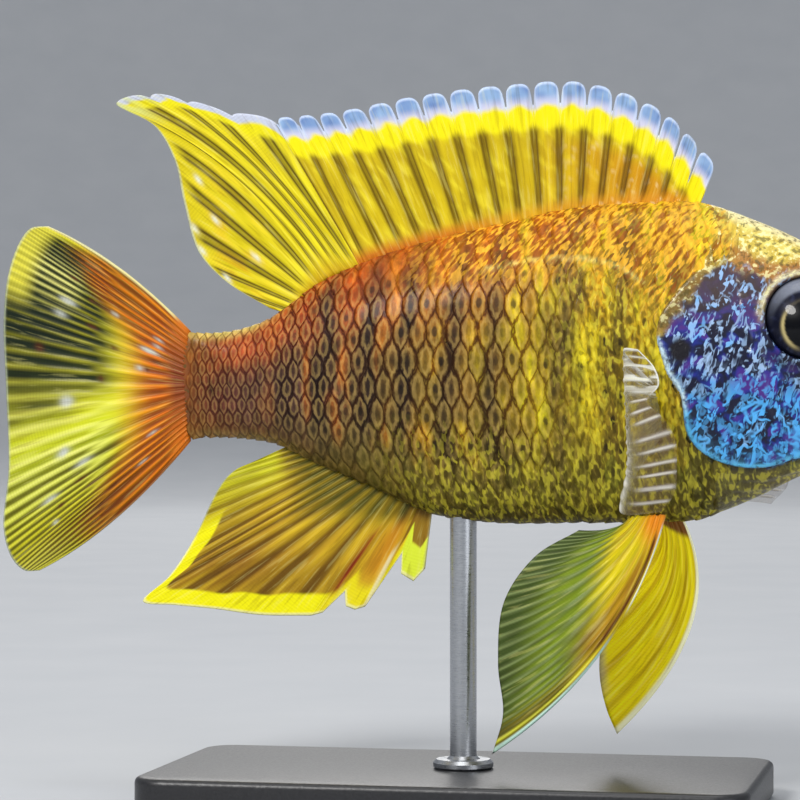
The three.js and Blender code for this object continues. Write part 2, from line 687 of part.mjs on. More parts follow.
const FISH_GLOSS = 0.35;
part('head', head(), 0x2f4f9a, FISH_GLOSS);
part('lower_jaw', lowerJaw(), 0x3a5f9c, FISH_GLOSS);
part('trunk', trunk(), 0x9a7a22, FISH_GLOSS);
part('tail_stalk', tailStalk(), 0x8a4a22, FISH_GLOSS);
part('dorsal_fin', dorsalFin(), 0xd6c020, FISH_GLOSS);
part('anal_fin', analFin(), 0xd8b81c, FISH_GLOSS);
part('caudal_fin', caudalFin(), 0xc09a1e, FISH_GLOSS);
[['right', -1], ['left', 1]].forEach(([name, side]) => {
  part(`gill_cover_${name}`, gillCover(side), 0x3a6fc4, FISH_GLOSS);
  part(`eye_${name}`, eyeball(side, 0), 0x0c1020, 0.1);
  part(`pectoral_fin_${name}`, pectoralFin(side, PECTORAL[name]), 0xcfcfa8, FISH_GLOSS);
  part(`pelvic_fin_${name}`, pelvicFin(side, PELVIC[name]), 0xd2c824, FISH_GLOSS);
});
part('stand_base', standBase(), 0x1c1c1e, 0.4);
part('stand_rod', standRod(), 0xb9bcc0, 0.3, 1);

export default group;
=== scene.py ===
"""Looks of a life-size peacock cichlid, held over a flat base by one rod.

One skin covers the flesh, with solid scales over it, painted fins with fine branching rays and
wet eyes. Shapes are worked out in millimetres in the frame's own axes: +X to the snout, +Y to
the fish's left side and +Z up. They become metres when a mesh is written.
"""

import logging
import math
from collections.abc import Sequence
from dataclasses import dataclass
from enum import Enum

import bmesh
import bpy
import numpy as np
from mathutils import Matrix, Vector


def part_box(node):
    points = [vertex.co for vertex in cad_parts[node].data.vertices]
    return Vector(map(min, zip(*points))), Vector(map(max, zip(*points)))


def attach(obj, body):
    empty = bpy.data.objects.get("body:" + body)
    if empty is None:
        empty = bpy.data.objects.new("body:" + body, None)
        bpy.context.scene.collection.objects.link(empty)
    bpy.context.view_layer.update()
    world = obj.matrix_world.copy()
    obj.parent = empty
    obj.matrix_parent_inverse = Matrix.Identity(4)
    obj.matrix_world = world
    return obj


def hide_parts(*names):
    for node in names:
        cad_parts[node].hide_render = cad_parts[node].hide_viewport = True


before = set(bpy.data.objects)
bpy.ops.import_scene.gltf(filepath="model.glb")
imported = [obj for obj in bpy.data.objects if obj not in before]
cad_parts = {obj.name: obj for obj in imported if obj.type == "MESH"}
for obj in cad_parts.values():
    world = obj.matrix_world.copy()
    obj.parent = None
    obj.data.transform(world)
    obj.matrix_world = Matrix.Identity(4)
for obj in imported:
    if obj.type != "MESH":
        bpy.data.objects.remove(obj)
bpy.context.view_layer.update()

Array = np.ndarray
Mesh = bpy.types.Mesh
Form = bmesh.types.BMesh
Piece = bpy.types.Object
Material = bpy.types.Material
Socket = bpy.types.NodeSocket
LOG = logging.getLogger("cichlid")
MM = 0.001
BODY = "root"


class Side(Enum):
    """Side of the fish, as the sign of Y."""

    RIGHT = -1
    LEFT = 1

    @property
    def word(self) -> str:
        """The side in the names of pieces and nodes."""
        return self.name.lower()


# Small helpers for shapes and paint


def tone(red: int, green: int, blue: int) -> Array:
    """Linear colour of a screen colour given from 0 to 255."""
    share = np.array([red, green, blue]) / 255
    return np.where(share <= 0.04045, share / 12.92, ((share + 0.055) / 1.055) ** 2.4)


def soft(value: Array, low: float, high: float) -> Array:
    """Smooth step: 0 at low, 1 at high."""
    share = np.clip((value - low) / (high - low), 0, 1)
    return share * share * (3 - 2 * share)


def hump(value: Array, middle: float, reach: float) -> Array:
    """Bell of height 1 round a middle value."""
    return np.exp(-(((value - middle) / reach) ** 2))


def between(start: Array, end: Array, share: Array) -> Array:
    """Values on the way from start to end."""
    return start + (end - start) * share


def lay(under: Array, over: Array, amount: Array) -> Array:
    """Paint laid over another.

    Args:
        under: Colours so far.
        over: The new colour, or one for each point.
        amount: How much of it covers, from 0 to 1.

    Returns:
        The mixed colours.
    """
    return between(under, over, np.clip(amount, 0, 1)[..., None])


def span(value: Array, start: float, full: float, fade: float, end: float) -> Array:
    """Smooth plateau: 0 up to start, 1 from full to fade and 0 past end."""
    return soft(value, start, full) * soft(value, end, fade)


def height_on(corners: Sequence, x: Array) -> Array:
    """Height, or another value, at x of a line given by its corners."""
    return np.interp(x, *zip(*corners))


def joined(*parts: Array) -> Array:
    """Arrays side by side in a new last axis."""
    return np.stack(np.broadcast_arrays(*parts), -1)


def unit(vectors: Array) -> Array:
    """Vectors drawn to a length of 1."""
    return vectors / np.maximum(np.linalg.norm(vectors, axis=-1, keepdims=True), 1e-9)


def in_plane(points: Array) -> Array:
    """Points (x, z) as places in the middle plane."""
    return joined(points[:, 0], 0.0, points[:, 1])


def lengths(start: Array, end: Array) -> Array:
    """Distances between pairs of points."""
    return np.linalg.norm(end - start, axis=-1)


class Paint:
    """Colours of many points, laid one over another."""

    def __init__(self, shape: Sequence[int], red: int, green: int, blue: int) -> None:
        """Cover an array of points with one screen colour."""
        self.colours = np.broadcast_to(tone(red, green, blue), (*shape, 3))

    def lay(self, red: int, green: int, blue: int, amount: Array) -> None:
        """Lay a screen colour over the points by amounts from 0 to 1."""
        self.cover(tone(red, green, blue), amount)

    def cover(self, colours: Array, amount: Array) -> None:
        """Lay a linear colour, or one for each point, over the points."""
        self.colours = lay(self.colours, colours, amount)


class Mottle:
    """Smooth seeded noise over a plane, from 0 to 1."""

    size = 97

    def __init__(self, seed: int) -> None:
        """Draw the noise's lattice from a seed."""
        self.lattice = np.random.default_rng(seed).random((self.size, self.size))

    def at(self, across: Array, along: Array) -> Array:
        """Noise at places given in lattice steps."""
        across, along = np.broadcast_arrays(across, along)
        column = np.floor(across).astype(int)
        row = np.floor(along).astype(int)
        u = soft(across - column, 0, 1)
        v = soft(along - row, 0, 1)
        corner = [
            self.lattice[(column + i) % self.size, (row + j) % self.size] for i in (0, 1) for j in (0, 1)
        ]
        near = corner[0] * (1 - v) + corner[1] * v
        far = corner[2] * (1 - v) + corner[3] * v
        return near * (1 - u) + far * u


class Line:
    """Smooth curve through points, or a row of such curves side by side."""

    def __init__(self, points: Sequence) -> None:
        """Keep the points, with one more past each end."""
        through = np.asarray(points, float)
        before = 2 * through[0] - through[1]
        after = 2 * through[-1] - through[-2]
        self.points = np.concatenate([before[None], through, after[None]])
        self.knots = np.linalg.norm(np.diff(self.points, axis=0), axis=-1)[..., None] ** 0.5
        self.spans = len(through) - 1

    def at(self, share: Array) -> Array:
        """Points at shares from 0 to 1, with as much share between each two points."""
        place = np.clip(np.atleast_1d(share), 0, 1) * self.spans
        i = np.minimum(place.astype(int), self.spans - 1)
        t = (place - i).reshape((-1,) + (1,) * (self.points.ndim - 1))
        a, b, c, d = (self.points[i + k] for k in range(4))
        u, v, w = (self.knots[i + k] for k in range(3))
        leave = ((b - a) / u - (c - a) / (u + v) + (c - b) / v) * v
        reach = ((c - b) / v - (d - b) / (v + w) + (d - c) / w) * v
        cubic = 2 * b - 2 * c + leave + reach
        square = -3 * b + 3 * c - 2 * leave - reach
        return b + t * (leave + t * (square + t * cubic))

    def distance(self, x: Array, z: Array, steps: int = 160) -> Array:
        """Distance in the plane from places to the line."""
        trace = self.at(np.linspace(0, 1, steps))
        nearest = np.full(np.shape(x), np.inf)
        for (ax, az), (bx, bz) in zip(trace[:-1], trace[1:]):
            dx = bx - ax
            dz = bz - az
            share = np.clip(((x - ax) * dx + (z - az) * dz) / (dx * dx + dz * dz), 0, 1)
            gap = (x - ax - share * dx) ** 2 + (z - az - share * dz) ** 2
            nearest = np.minimum(nearest, gap)
        return np.sqrt(nearest)


# Meshes


def keep_form(form: Form, name: str) -> Mesh:
    """Mesh of a finished form, which is freed."""
    mesh = bpy.data.meshes.new(name)
    form.to_mesh(mesh)
    form.free()
    return mesh


def lattice(name: str, across: int, along: int) -> tuple[Mesh, Array, Array]:
    """Flat grid mesh whose points are then moved into shape.

    Args:
        name: The mesh's name.
        across: Faces across.
        along: Faces along.

    Returns:
        The mesh, and the column and the row of each of its points.
    """
    form = bmesh.new()
    bmesh.ops.create_grid(form, x_segments=across, y_segments=along, size=1)
    mesh = keep_form(form, name)
    flat = read_points(mesh)
    share = (flat - flat.min(0)) / np.maximum(np.ptp(flat, axis=0), 1e-9)
    return mesh, np.rint(share[:, 0] * across).astype(int), np.rint(share[:, 1] * along).astype(int)


def read_points(mesh: Mesh) -> Array:
    """Points of a mesh as rows."""
    flat = np.empty(len(mesh.vertices) * 3, np.float32)
    mesh.vertices.foreach_get("co", flat)
    return flat.reshape(-1, 3).astype(float)


def write_points(mesh: Mesh, points: Array) -> None:
    """Move a mesh's points to places given in millimetres."""
    mesh.vertices.foreach_set("co", (points * MM).astype(np.float32).ravel())
    mesh.update()


def write_mark(mesh: Mesh, name: str, values: Array) -> None:
    """Keep a colour or a number for each point of a mesh."""
    if values.ndim == 2:
        layer = mesh.attributes.new(name, "FLOAT_COLOR", "POINT")
        colours = np.concatenate([values, np.ones((len(values), 1))], axis=1)
        layer.data.foreach_set("color", colours.astype(np.float32).ravel())
    else:
        layer = mesh.attributes.new(name, "FLOAT", "POINT")
        layer.data.foreach_set("value", values.astype(np.float32).ravel())


def write_map(mesh: Mesh, name: str, places: Array) -> None:
    """Keep a UV map, given a place for each point."""
    corners = np.empty(len(mesh.loops), np.int32)
    mesh.loops.foreach_get("vertex_index", corners)
    layer = mesh.uv_layers.new(name=name)
    layer.data.foreach_set("uv", places[corners].astype(np.float32).ravel())


def close_form(mesh: Mesh) -> None:
    """Join the points that meet at seams and poles, and turn the faces outwards."""
    form = bmesh.new()
    form.from_mesh(mesh)
    bmesh.ops.remove_doubles(form, verts=form.verts, dist=2e-7)
    bmesh.ops.recalc_face_normals(form, faces=form.faces)
    form.to_mesh(mesh)
    form.free()


def turned_mesh(name: str, profile: Sequence, axis_x: float, steps: int) -> Mesh:
    """Form turned about an upright axis, with all its measures in metres.

    Args:
        name: The mesh's name.
        profile: Its outline, as (radius, height).
        axis_x: Place of the axis.
        steps: Faces round it.

    Returns:
        The mesh.
    """
    form = bmesh.new()
    line = [form.verts.new((axis_x + radius, 0, z)) for radius, z in profile]
    edges = [form.edges.new(pair) for pair in zip(line[:-1], line[1:])]
    bmesh.ops.spin(
        form, geom=line + edges, cent=(axis_x, 0, 0), axis=(0, 0, 1), angle=2 * math.pi,
        steps=steps, use_merge=True,
    )
    bmesh.ops.remove_doubles(form, verts=form.verts, dist=1e-6)
    bmesh.ops.recalc_face_normals(form, faces=form.faces)
    return keep_form(form, name)


def set_in_scene(mesh: Mesh, finish: Material) -> Piece:
    """Smooth object of one material, with the mesh's name."""
    mesh.materials.append(finish)
    mesh.polygons.foreach_set("use_smooth", np.ones(len(mesh.polygons), bool))
    piece = bpy.data.objects.new(mesh.name, mesh)
    bpy.context.scene.collection.objects.link(piece)
    return piece


def finish_piece(
    mesh: Mesh, finish: Material, nodes: Sequence[str]
) -> Piece:
    """Set a finished mesh in the scene as a piece of the model.

    Args:
        mesh: The mesh, whose name the piece takes.
        finish: Its material.
        nodes: The CAD nodes that it stands for.

    Returns:
        The new object.
    """
    piece = set_in_scene(mesh, finish)
    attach(piece, BODY)
    if nodes:
        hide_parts(*nodes)
    LOG.info("%s: %d faces", piece.name, len(mesh.polygons))
    return piece


# The body's form


@dataclass(frozen=True)
class Station:
    """One section of the body: its place, heights, half width and how sharp its ridges are."""

    x: float
    back: float
    belly: float
    half: float
    level: float
    ridge: float
    keel: float


STATIONS = (
    Station(-42.6, 70.8, 54.4, 0.9, 62.7, 0.5, 0.5),
    Station(-38.0, 70.6, 54.8, 2.6, 62.8, 0.5, 0.5),
    Station(-33.0, 71.4, 54.6, 3.9, 63.0, 0.52, 0.52),
    Station(-28.0, 73.6, 53.7, 5.0, 63.4, 0.56, 0.55),
    Station(-22.0, 77.9, 50.9, 6.3, 64.0, 0.6, 0.55),
    Station(-13.0, 81.8, 47.2, 8.0, 64.6, 0.62, 0.52),
    Station(-4.0, 84.4, 43.4, 9.1, 64.8, 0.62, 0.5),
    Station(6.0, 86.7, 42.2, 9.9, 64.6, 0.62, 0.48),
    Station(18.0, 89.0, 42.3, 10.3, 64.2, 0.6, 0.45),
    Station(30.0, 89.6, 42.6, 10.4, 62.8, 0.58, 0.45),
    Station(36.5, 89.3, 43.1, 10.5, 61.5, 0.56, 0.5),
    Station(44.0, 86.7, 45.9, 10.2, 61.0, 0.52, 0.54),
    Station(51.0, 83.5, 49.6, 9.4, 61.2, 0.5, 0.54),
    Station(58.0, 79.0, 53.0, 7.9, 62.2, 0.48, 0.5),
    Station(64.0, 74.0, 56.0, 6.2, 63.2, 0.46, 0.48),
    Station(68.5, 69.9, 58.4, 4.7, 64.0, 0.46, 0.46),
    Station(71.7, 67.0, 60.6, 3.3, 64.4, 0.46, 0.46),
)


class BodyForm:
    """The body as a smooth form through its stations."""

    flatness = 2.3

    def measure(self, key: str, x: Array) -> Array:
        """One measure of the stations, on a smooth curve through them."""
        places = np.array([station.x for station in STATIONS])
        values = np.array([getattr(station, key) for station in STATIONS])
        slopes = np.empty_like(values)
        slopes[1:-1] = (values[2:] - values[:-2]) / (places[2:] - places[:-2])
        slopes[0] = (values[1] - values[0]) / (places[1] - places[0])
        slopes[-1] = (values[-1] - values[-2]) / (places[-1] - places[-2])
        i = np.clip(np.searchsorted(places, x, side="right") - 1, 0, len(places) - 2)
        width = places[i + 1] - places[i]
        t = np.clip((x - places[i]) / width, 0, 1)
        rise = values[i + 1] - values[i]
        leave = slopes[i] * width
        reach = slopes[i + 1] * width
        return values[i] + t * (leave + t * (3 * rise - 2 * leave - reach + t * (leave + reach - 2 * rise)))

    def surface(self, x: Array, turn: Array, side: Array, rounding: Array = 1.0) -> Array:
        """Points on the body.

        Args:
            x: Places along the body.
            turn: From -0.5 at the belly to 0.5 at the back; past these it runs on round.
            side: The sign of Y.
            rounding: Shrinks the section about its level line.

        Returns:
            The points, in the last axis.
        """
        rise = np.sin(np.pi * turn)
        reach, power = self._part(x, rise > 0)
        fullness = np.clip(1 - np.abs(rise) ** self.flatness, 0, None) ** power
        out = np.sign(np.cos(np.pi * turn)) * self.measure("half", x) * fullness * rounding
        z = self.measure("level", x) + rise * reach * rounding
        return joined(x, side * out, z)

    def _part(self, x: Array, above: Array) -> tuple[Array, Array]:
        """Height of a section above or below its level line, and how sharp it ends."""
        level = self.measure("level", x)
        reach = np.where(above, self.measure("back", x) - level, level - self.measure("belly", x))
        return reach, np.where(above, self.measure("ridge", x), self.measure("keel", x))

    def half_width(self, x: Array, z: Array) -> Array:
        """Half width of the body at a height."""
        away = z - self.measure("level", x)
        reach, power = self._part(x, away > 0)
        share = np.minimum(np.abs(away) / reach, 1)
        return self.measure("half", x) * (1 - share**self.flatness) ** power

    def height(self, x: Array, z: Array) -> Array:
        """Height as a share, 0 at the belly and 1 at the back."""
        belly = self.measure("belly", x)
        return (z - belly) / (self.measure("back", x) - belly)


class ArcMap:
    """Turn round the body for a distance measured over the skin from the level line."""

    place_step = 0.5
    arc_step = 0.25
    last_turn = 0.64
    samples = 500

    def __init__(self, body: BodyForm) -> None:
        """Measure the sections once."""
        self.body = body
        self.places = np.arange(-43, 56, self.place_step)
        self.arcs = np.arange(-34, 34, self.arc_step)
        turns = np.linspace(-self.last_turn, self.last_turn, self.samples)
        middle = len(turns) // 2
        rows = []
        for x in self.places:
            section = body.surface(x, turns, 1)
            steps = np.linalg.norm(np.diff(section, axis=0), axis=1)
            length = np.concatenate([[0], np.cumsum(steps)])
            rows.append(np.interp(self.arcs, length - length[middle], turns))
        self.turns = np.array(rows)

    def turn(self, x: Array, arc: Array) -> Array:
        """Turn at places along the body and over the skin."""
        i, u = self._cell(x, self.places, self.place_step)
        j, v = self._cell(arc, self.arcs, self.arc_step)
        near = self.turns[i, j] * (1 - v) + self.turns[i, j + 1] * v
        far = self.turns[i + 1, j] * (1 - v) + self.turns[i + 1, j + 1] * v
        return near * (1 - u) + far * u

    def _cell(self, value: Array, marks: Array, step: float) -> tuple[Array, Array]:
        """Number of the cell between marks that holds a value, and how far into it that lies."""
        place = np.clip((value - marks[0]) / step, 0, len(marks) - 1.001)
        return place.astype(int), place % 1

    def reach(self, x: float) -> tuple[float, float]:
        """Distances over the skin to the belly's and the back's middle line."""
        row = self.turns[int(self._cell(np.array(x), self.places, self.place_step)[0])]
        inside = self.arcs[np.abs(row) < 0.5]
        return float(inside[0]), float(inside[-1])

    def point(self, x: Array, arc: Array, side: Side) -> Array:
        """Points of the skin."""
        return self.body.surface(x, self.turn(x, arc), side.value)

    def normal(self, x: Array, arc: Array, side: Side) -> Array:
        """Directions out of the skin."""
        step = 0.3
        along = self.point(x + step, arc, side) - self.point(x - step, arc, side)
        up = self.point(x, arc + step, side) - self.point(x, arc - step, side)
        return unit(np.cross(up, along) * side.value)


# Lines on the head, as places (x, z) seen from the side

GILL_EDGE = Line([
    (37.2, 79.6), (35.8, 78.8), (33.4, 76.2), (31, 72.6), (30.5, 69.6), (31.2, 66.8), (32.2, 64),
    (33.9, 61.4), (34.4, 58.6), (34.8, 56), (36, 53.8), (38, 52.2), (41.4, 50.9), (46, 50.7),
    (50.5, 52.2), (54, 53.4),
])
GILL_RIDGE = Line([
    (52.5, 52.9), (49.6, 53.6), (47.2, 55.6), (45.6, 60), (44.8, 66), (44.2, 72), (42.2, 76.6),
])
JAW_CREASE = Line([(61.6, 58.8), (59.4, 56.8), (57.4, 53.5), (56.6, 46)])
BLUE_TOP = ((28, 68.6), (31, 70), (33.6, 72.8), (35.4, 75.6), (37.6, 78.8), (40.6, 80.6), (43.4, 79.8),
            (46.4, 78), (52, 78.6), (57, 77.6), (62, 75.2), (67, 71.5), (75, 66))
BLUE_FOOT = ((28, 50), (41, 50.4), (46, 50.4), (50.5, 51.9), (56, 53.4), (61, 56), (67, 59),
             (75, 63))
MOUTH_SLIT = ((61.8, 58.9), (66.5, 62.2), (71.6, 64.6), (76, 66.4))
EYE_PLACE = (51.9, 71.9)
EYE_AXIS = (0.16, 1.0, 0.21)
EYE_SUNK = 1.7
NOSTRIL = (63.4, 70.9)
LATERAL_LINE = Line([(4, 79.4), (10, 80.6), (18, 81.1), (24.5, 80), (28.6, 77.4)])


def eye_out(body: BodyForm) -> float:
    """Distance of the eyes' centres from the middle plane."""
    x, z = EYE_PLACE
    return float(body.half_width(np.array(x), np.array(z))) - EYE_SUNK


def gill_depth(x: Array, z: Array) -> Array:
    """Distance inside the gill cover's free edge, negative behind or under it."""
    trace = GILL_EDGE.at(np.linspace(0, 1, 120))
    lowest = trace[np.argmin(trace[:, 1])]
    rear = trace[trace[:, 0] <= lowest[0]]
    edge_x = np.interp(z, rear[::-1, 1], rear[::-1, 0])
    foot = trace[trace[:, 0] >= 36]
    foot = foot[np.argsort(foot[:, 0])]
    lower = foot[foot[:, 1] < 60]
    edge_z = np.interp(x, lower[:, 0], lower[:, 1])
    inside = (x > edge_x) & ((z > edge_z) | (x < lower[0, 0]))
    return np.where(inside, 1, -1) * GILL_EDGE.distance(x, z)


# Paint


@dataclass(frozen=True)
class Patch:
    """A soft airbrushed patch on the flank, placed along the body and by height share."""

    colour: tuple[int, int, int]
    x: float
    long: float
    height: float
    tall: float
    strength: float

    def lay_on(self, paint: Paint, x: Array, height: Array) -> None:
        """Lay the patch over what is painted."""
        fall = np.abs((x - self.x) / self.long) ** 3 + np.abs((height - self.height) / self.tall) ** 3
        paint.lay(*self.colour, self.strength * np.exp(-fall))


FLANK_PATCHES = {
    "brown rear flank": Patch((96, 68, 42), -20, 17, 0.45, 0.6, 0.95),
    "olive-brown middle": Patch((126, 98, 34), 3, 11, 0.4, 0.6, 0.8),
    "yellow shoulder": Patch((198, 170, 22), 23, 13, 0.5, 0.5, 0.85),
    "orange-red back": Patch((198, 78, 16), -16, 18, 1.02, 0.32, 0.95),
    "orange back": Patch((216, 122, 16), 10, 16, 1.02, 0.3, 0.9),
    "golden shoulder": Patch((226, 160, 20), 31, 10, 0.98, 0.3, 0.9),
    "brown stalk": Patch((102, 42, 28), -36, 11, 0.45, 0.6, 0.92),
    "violet stalk": Patch((84, 58, 56), -27, 10, 0.35, 0.3, 0.7),
    "red back of the stalk": Patch((174, 72, 28), -30, 10, 0.85, 0.2, 0.8),
    "orange tail base": Patch((206, 92, 24), -48, 4.5, 0.5, 1.0, 0.95),
    "olive belly": Patch((112, 108, 32), 14, 32, 0.12, 0.16, 0.8),
    "dark keel": Patch((84, 78, 30), 6, 36, 0.0, 0.06, 0.8),
    "pale top of the stalk": Patch((230, 208, 110), -36, 7, 1.03, 0.09, 0.85),
    "pale foot of the stalk": Patch((170, 140, 84), -33, 9, 0.0, 0.07, 0.5),
    "brown gill corner": Patch((116, 96, 44), 33, 4, 0.72, 0.12, 0.6),
    "pale nape": Patch((232, 206, 86), 43, 9, 1.0, 0.13, 0.9),
    "olive breast": Patch((112, 108, 44), 40, 10, 0.12, 0.22, 0.85),
}
BARS = (
    (-25.5, 0.6), (-19.4, 1), (-12.9, 1), (-7, 0.95), (0.1, 0.9), (6.7, 0.85), (17, 0.8),
    (24.6, 0.75),
)


class Markings:
    """The living fish's colours over its body, the same on skin and scales."""

    def __init__(self, body: BodyForm) -> None:
        """Keep the body and draw the noise."""
        self.body = body
        self.mottle = Mottle(11)
        self.wobble = Mottle(12)

    def bars(self, x: Array, z: Array) -> Array:
        """Amount of the dark upright bars, 0 to 1."""
        height = self.body.height(x, z)
        sway = 1.8 * (self.wobble.at(x * 0.1 + 9, z * 0.16) - 0.5) + 0.05 * (64 - z)
        amount = np.zeros(np.shape(x))
        for middle, strength in BARS:
            amount = np.maximum(amount, strength * hump(x + sway, middle, 1.9))
        broken = 0.7 + 0.5 * self.wobble.at(x * 0.5 + 3, z * 0.35)
        return amount * broken * span(height, 0.05, 0.3, 0.86, 1.12)

    def flank(self, x: Array, z: Array) -> Array:
        """Colours of the flank, back and belly."""
        height = self.body.height(x, z)
        paint = Paint(x.shape, 158, 122, 34)
        for patch in FLANK_PATCHES.values():
            patch.lay_on(paint, x, height)
        bars = self.bars(x, z)
        streak = self.mottle.at(x * 0.9, z * 0.2)
        glow = soft(streak, 0.45, 0.8) * (1 - bars) * soft(height, 0.1, 0.3) * soft(x, -34, -20)
        gold = lay(tone(216, 118, 30), tone(232, 210, 22), soft(x, -14, 12))
        paint.cover(gold, 0.7 * glow)
        dim = soft(self.mottle.at(x * 1.1 + 70, z * 0.22), 0.5, 0.8) * soft(height, 0.1, 0.2)
        paint.lay(92, 76, 24, 0.6 * dim * soft(x, 6, 18) * soft(height, 0.94, 0.8))
        paint.lay(50, 36, 30, 0.9 * bars)
        cloud = self.mottle.at(x * 0.5 + 40, z * 0.5)
        paint.colours = paint.colours * (0.72 + 0.36 * cloud)[..., None]
        line = hump(LATERAL_LINE.distance(x, z, 30), 0, 0.3)
        paint.lay(230, 206, 110, 0.85 * line)
        return paint.colours

    def head(self, x: Array, y: Array, z: Array) -> Array:
        """Colours of the head outside its blue mask."""
        height = self.body.height(x, z)
        paint = Paint(x.shape, 212, 186, 74)
        paint.lay(104, 106, 44, soft(height, 0.36, 0.16))
        paint.lay(150, 136, 50, soft(height, 0.07, 0.0))
        paint.lay(96, 112, 150, soft(x, 56, 68) * soft(height, 0.3, 0.5))
        cloud = self.mottle.at(x * 0.7 + 31, (z - np.abs(y)) * 0.7)
        paint.lay(246, 234, 130, 0.6 * soft(cloud, 0.35, 0.8) * soft(height, 0.7, 0.85))
        # Painted highlight: a paler strip along the top edge of the head and nape.
        paint.lay(250, 240, 190, 0.6 * soft(height, 0.95, 0.99))
        above = z - height_on(BLUE_TOP, x) - 1.6 * (cloud - 0.5)
        fringe = span(above, -4, -2, 1.2, 3.4) * span(x, 38, 41, 53, 62)
        paint.lay(160, 92, 36, 0.85 * fringe)
        corner = soft(x, 40, 37.5) * soft(z, 69, 71)
        paint.cover(lay(tone(96, 78, 44), tone(150, 106, 40), cloud), 0.9 * corner)
        return paint.colours

    def on_nape(self, x: Array, z: Array) -> Array:
        """How far a place lies in front of the line where the scaled back ends."""
        return soft(x - 39.4 - (90 - z) * 0.22, -1.2, 1.2) * soft(z, 74, 78)

    def blue(self, x: Array, z: Array) -> Array:
        """Amount of the blue mask of the face and the gill cover."""
        top = height_on(BLUE_TOP, x) + 3.0 * (self.mottle.at(x * 0.9, z * 0.9 + 40) - 0.5)
        foot = height_on(BLUE_FOOT, x)
        rear = soft(gill_depth(x, z), -0.05, 0.25)
        return soft(top - z, -0.8, 1.4) * soft(z - foot, -0.2, 0.25) * np.where(x > 46, 1, rear)


# Finishes


@dataclass(frozen=True)
class Stroke:
    """Marks of one colour, from none to full between two levels of a noise."""

    colour: tuple[int, int, int]
    none: float
    full: float
    strength: float


UPRIGHT = (Stroke((226, 212, 62), 0.51, 0.6, 0.45), Stroke((70, 58, 14), 0.48, 0.39, 0.6))
SLANTED = (Stroke((250, 186, 50), 0.5, 0.58, 0.75), Stroke((140, 66, 12), 0.47, 0.38, 0.7))


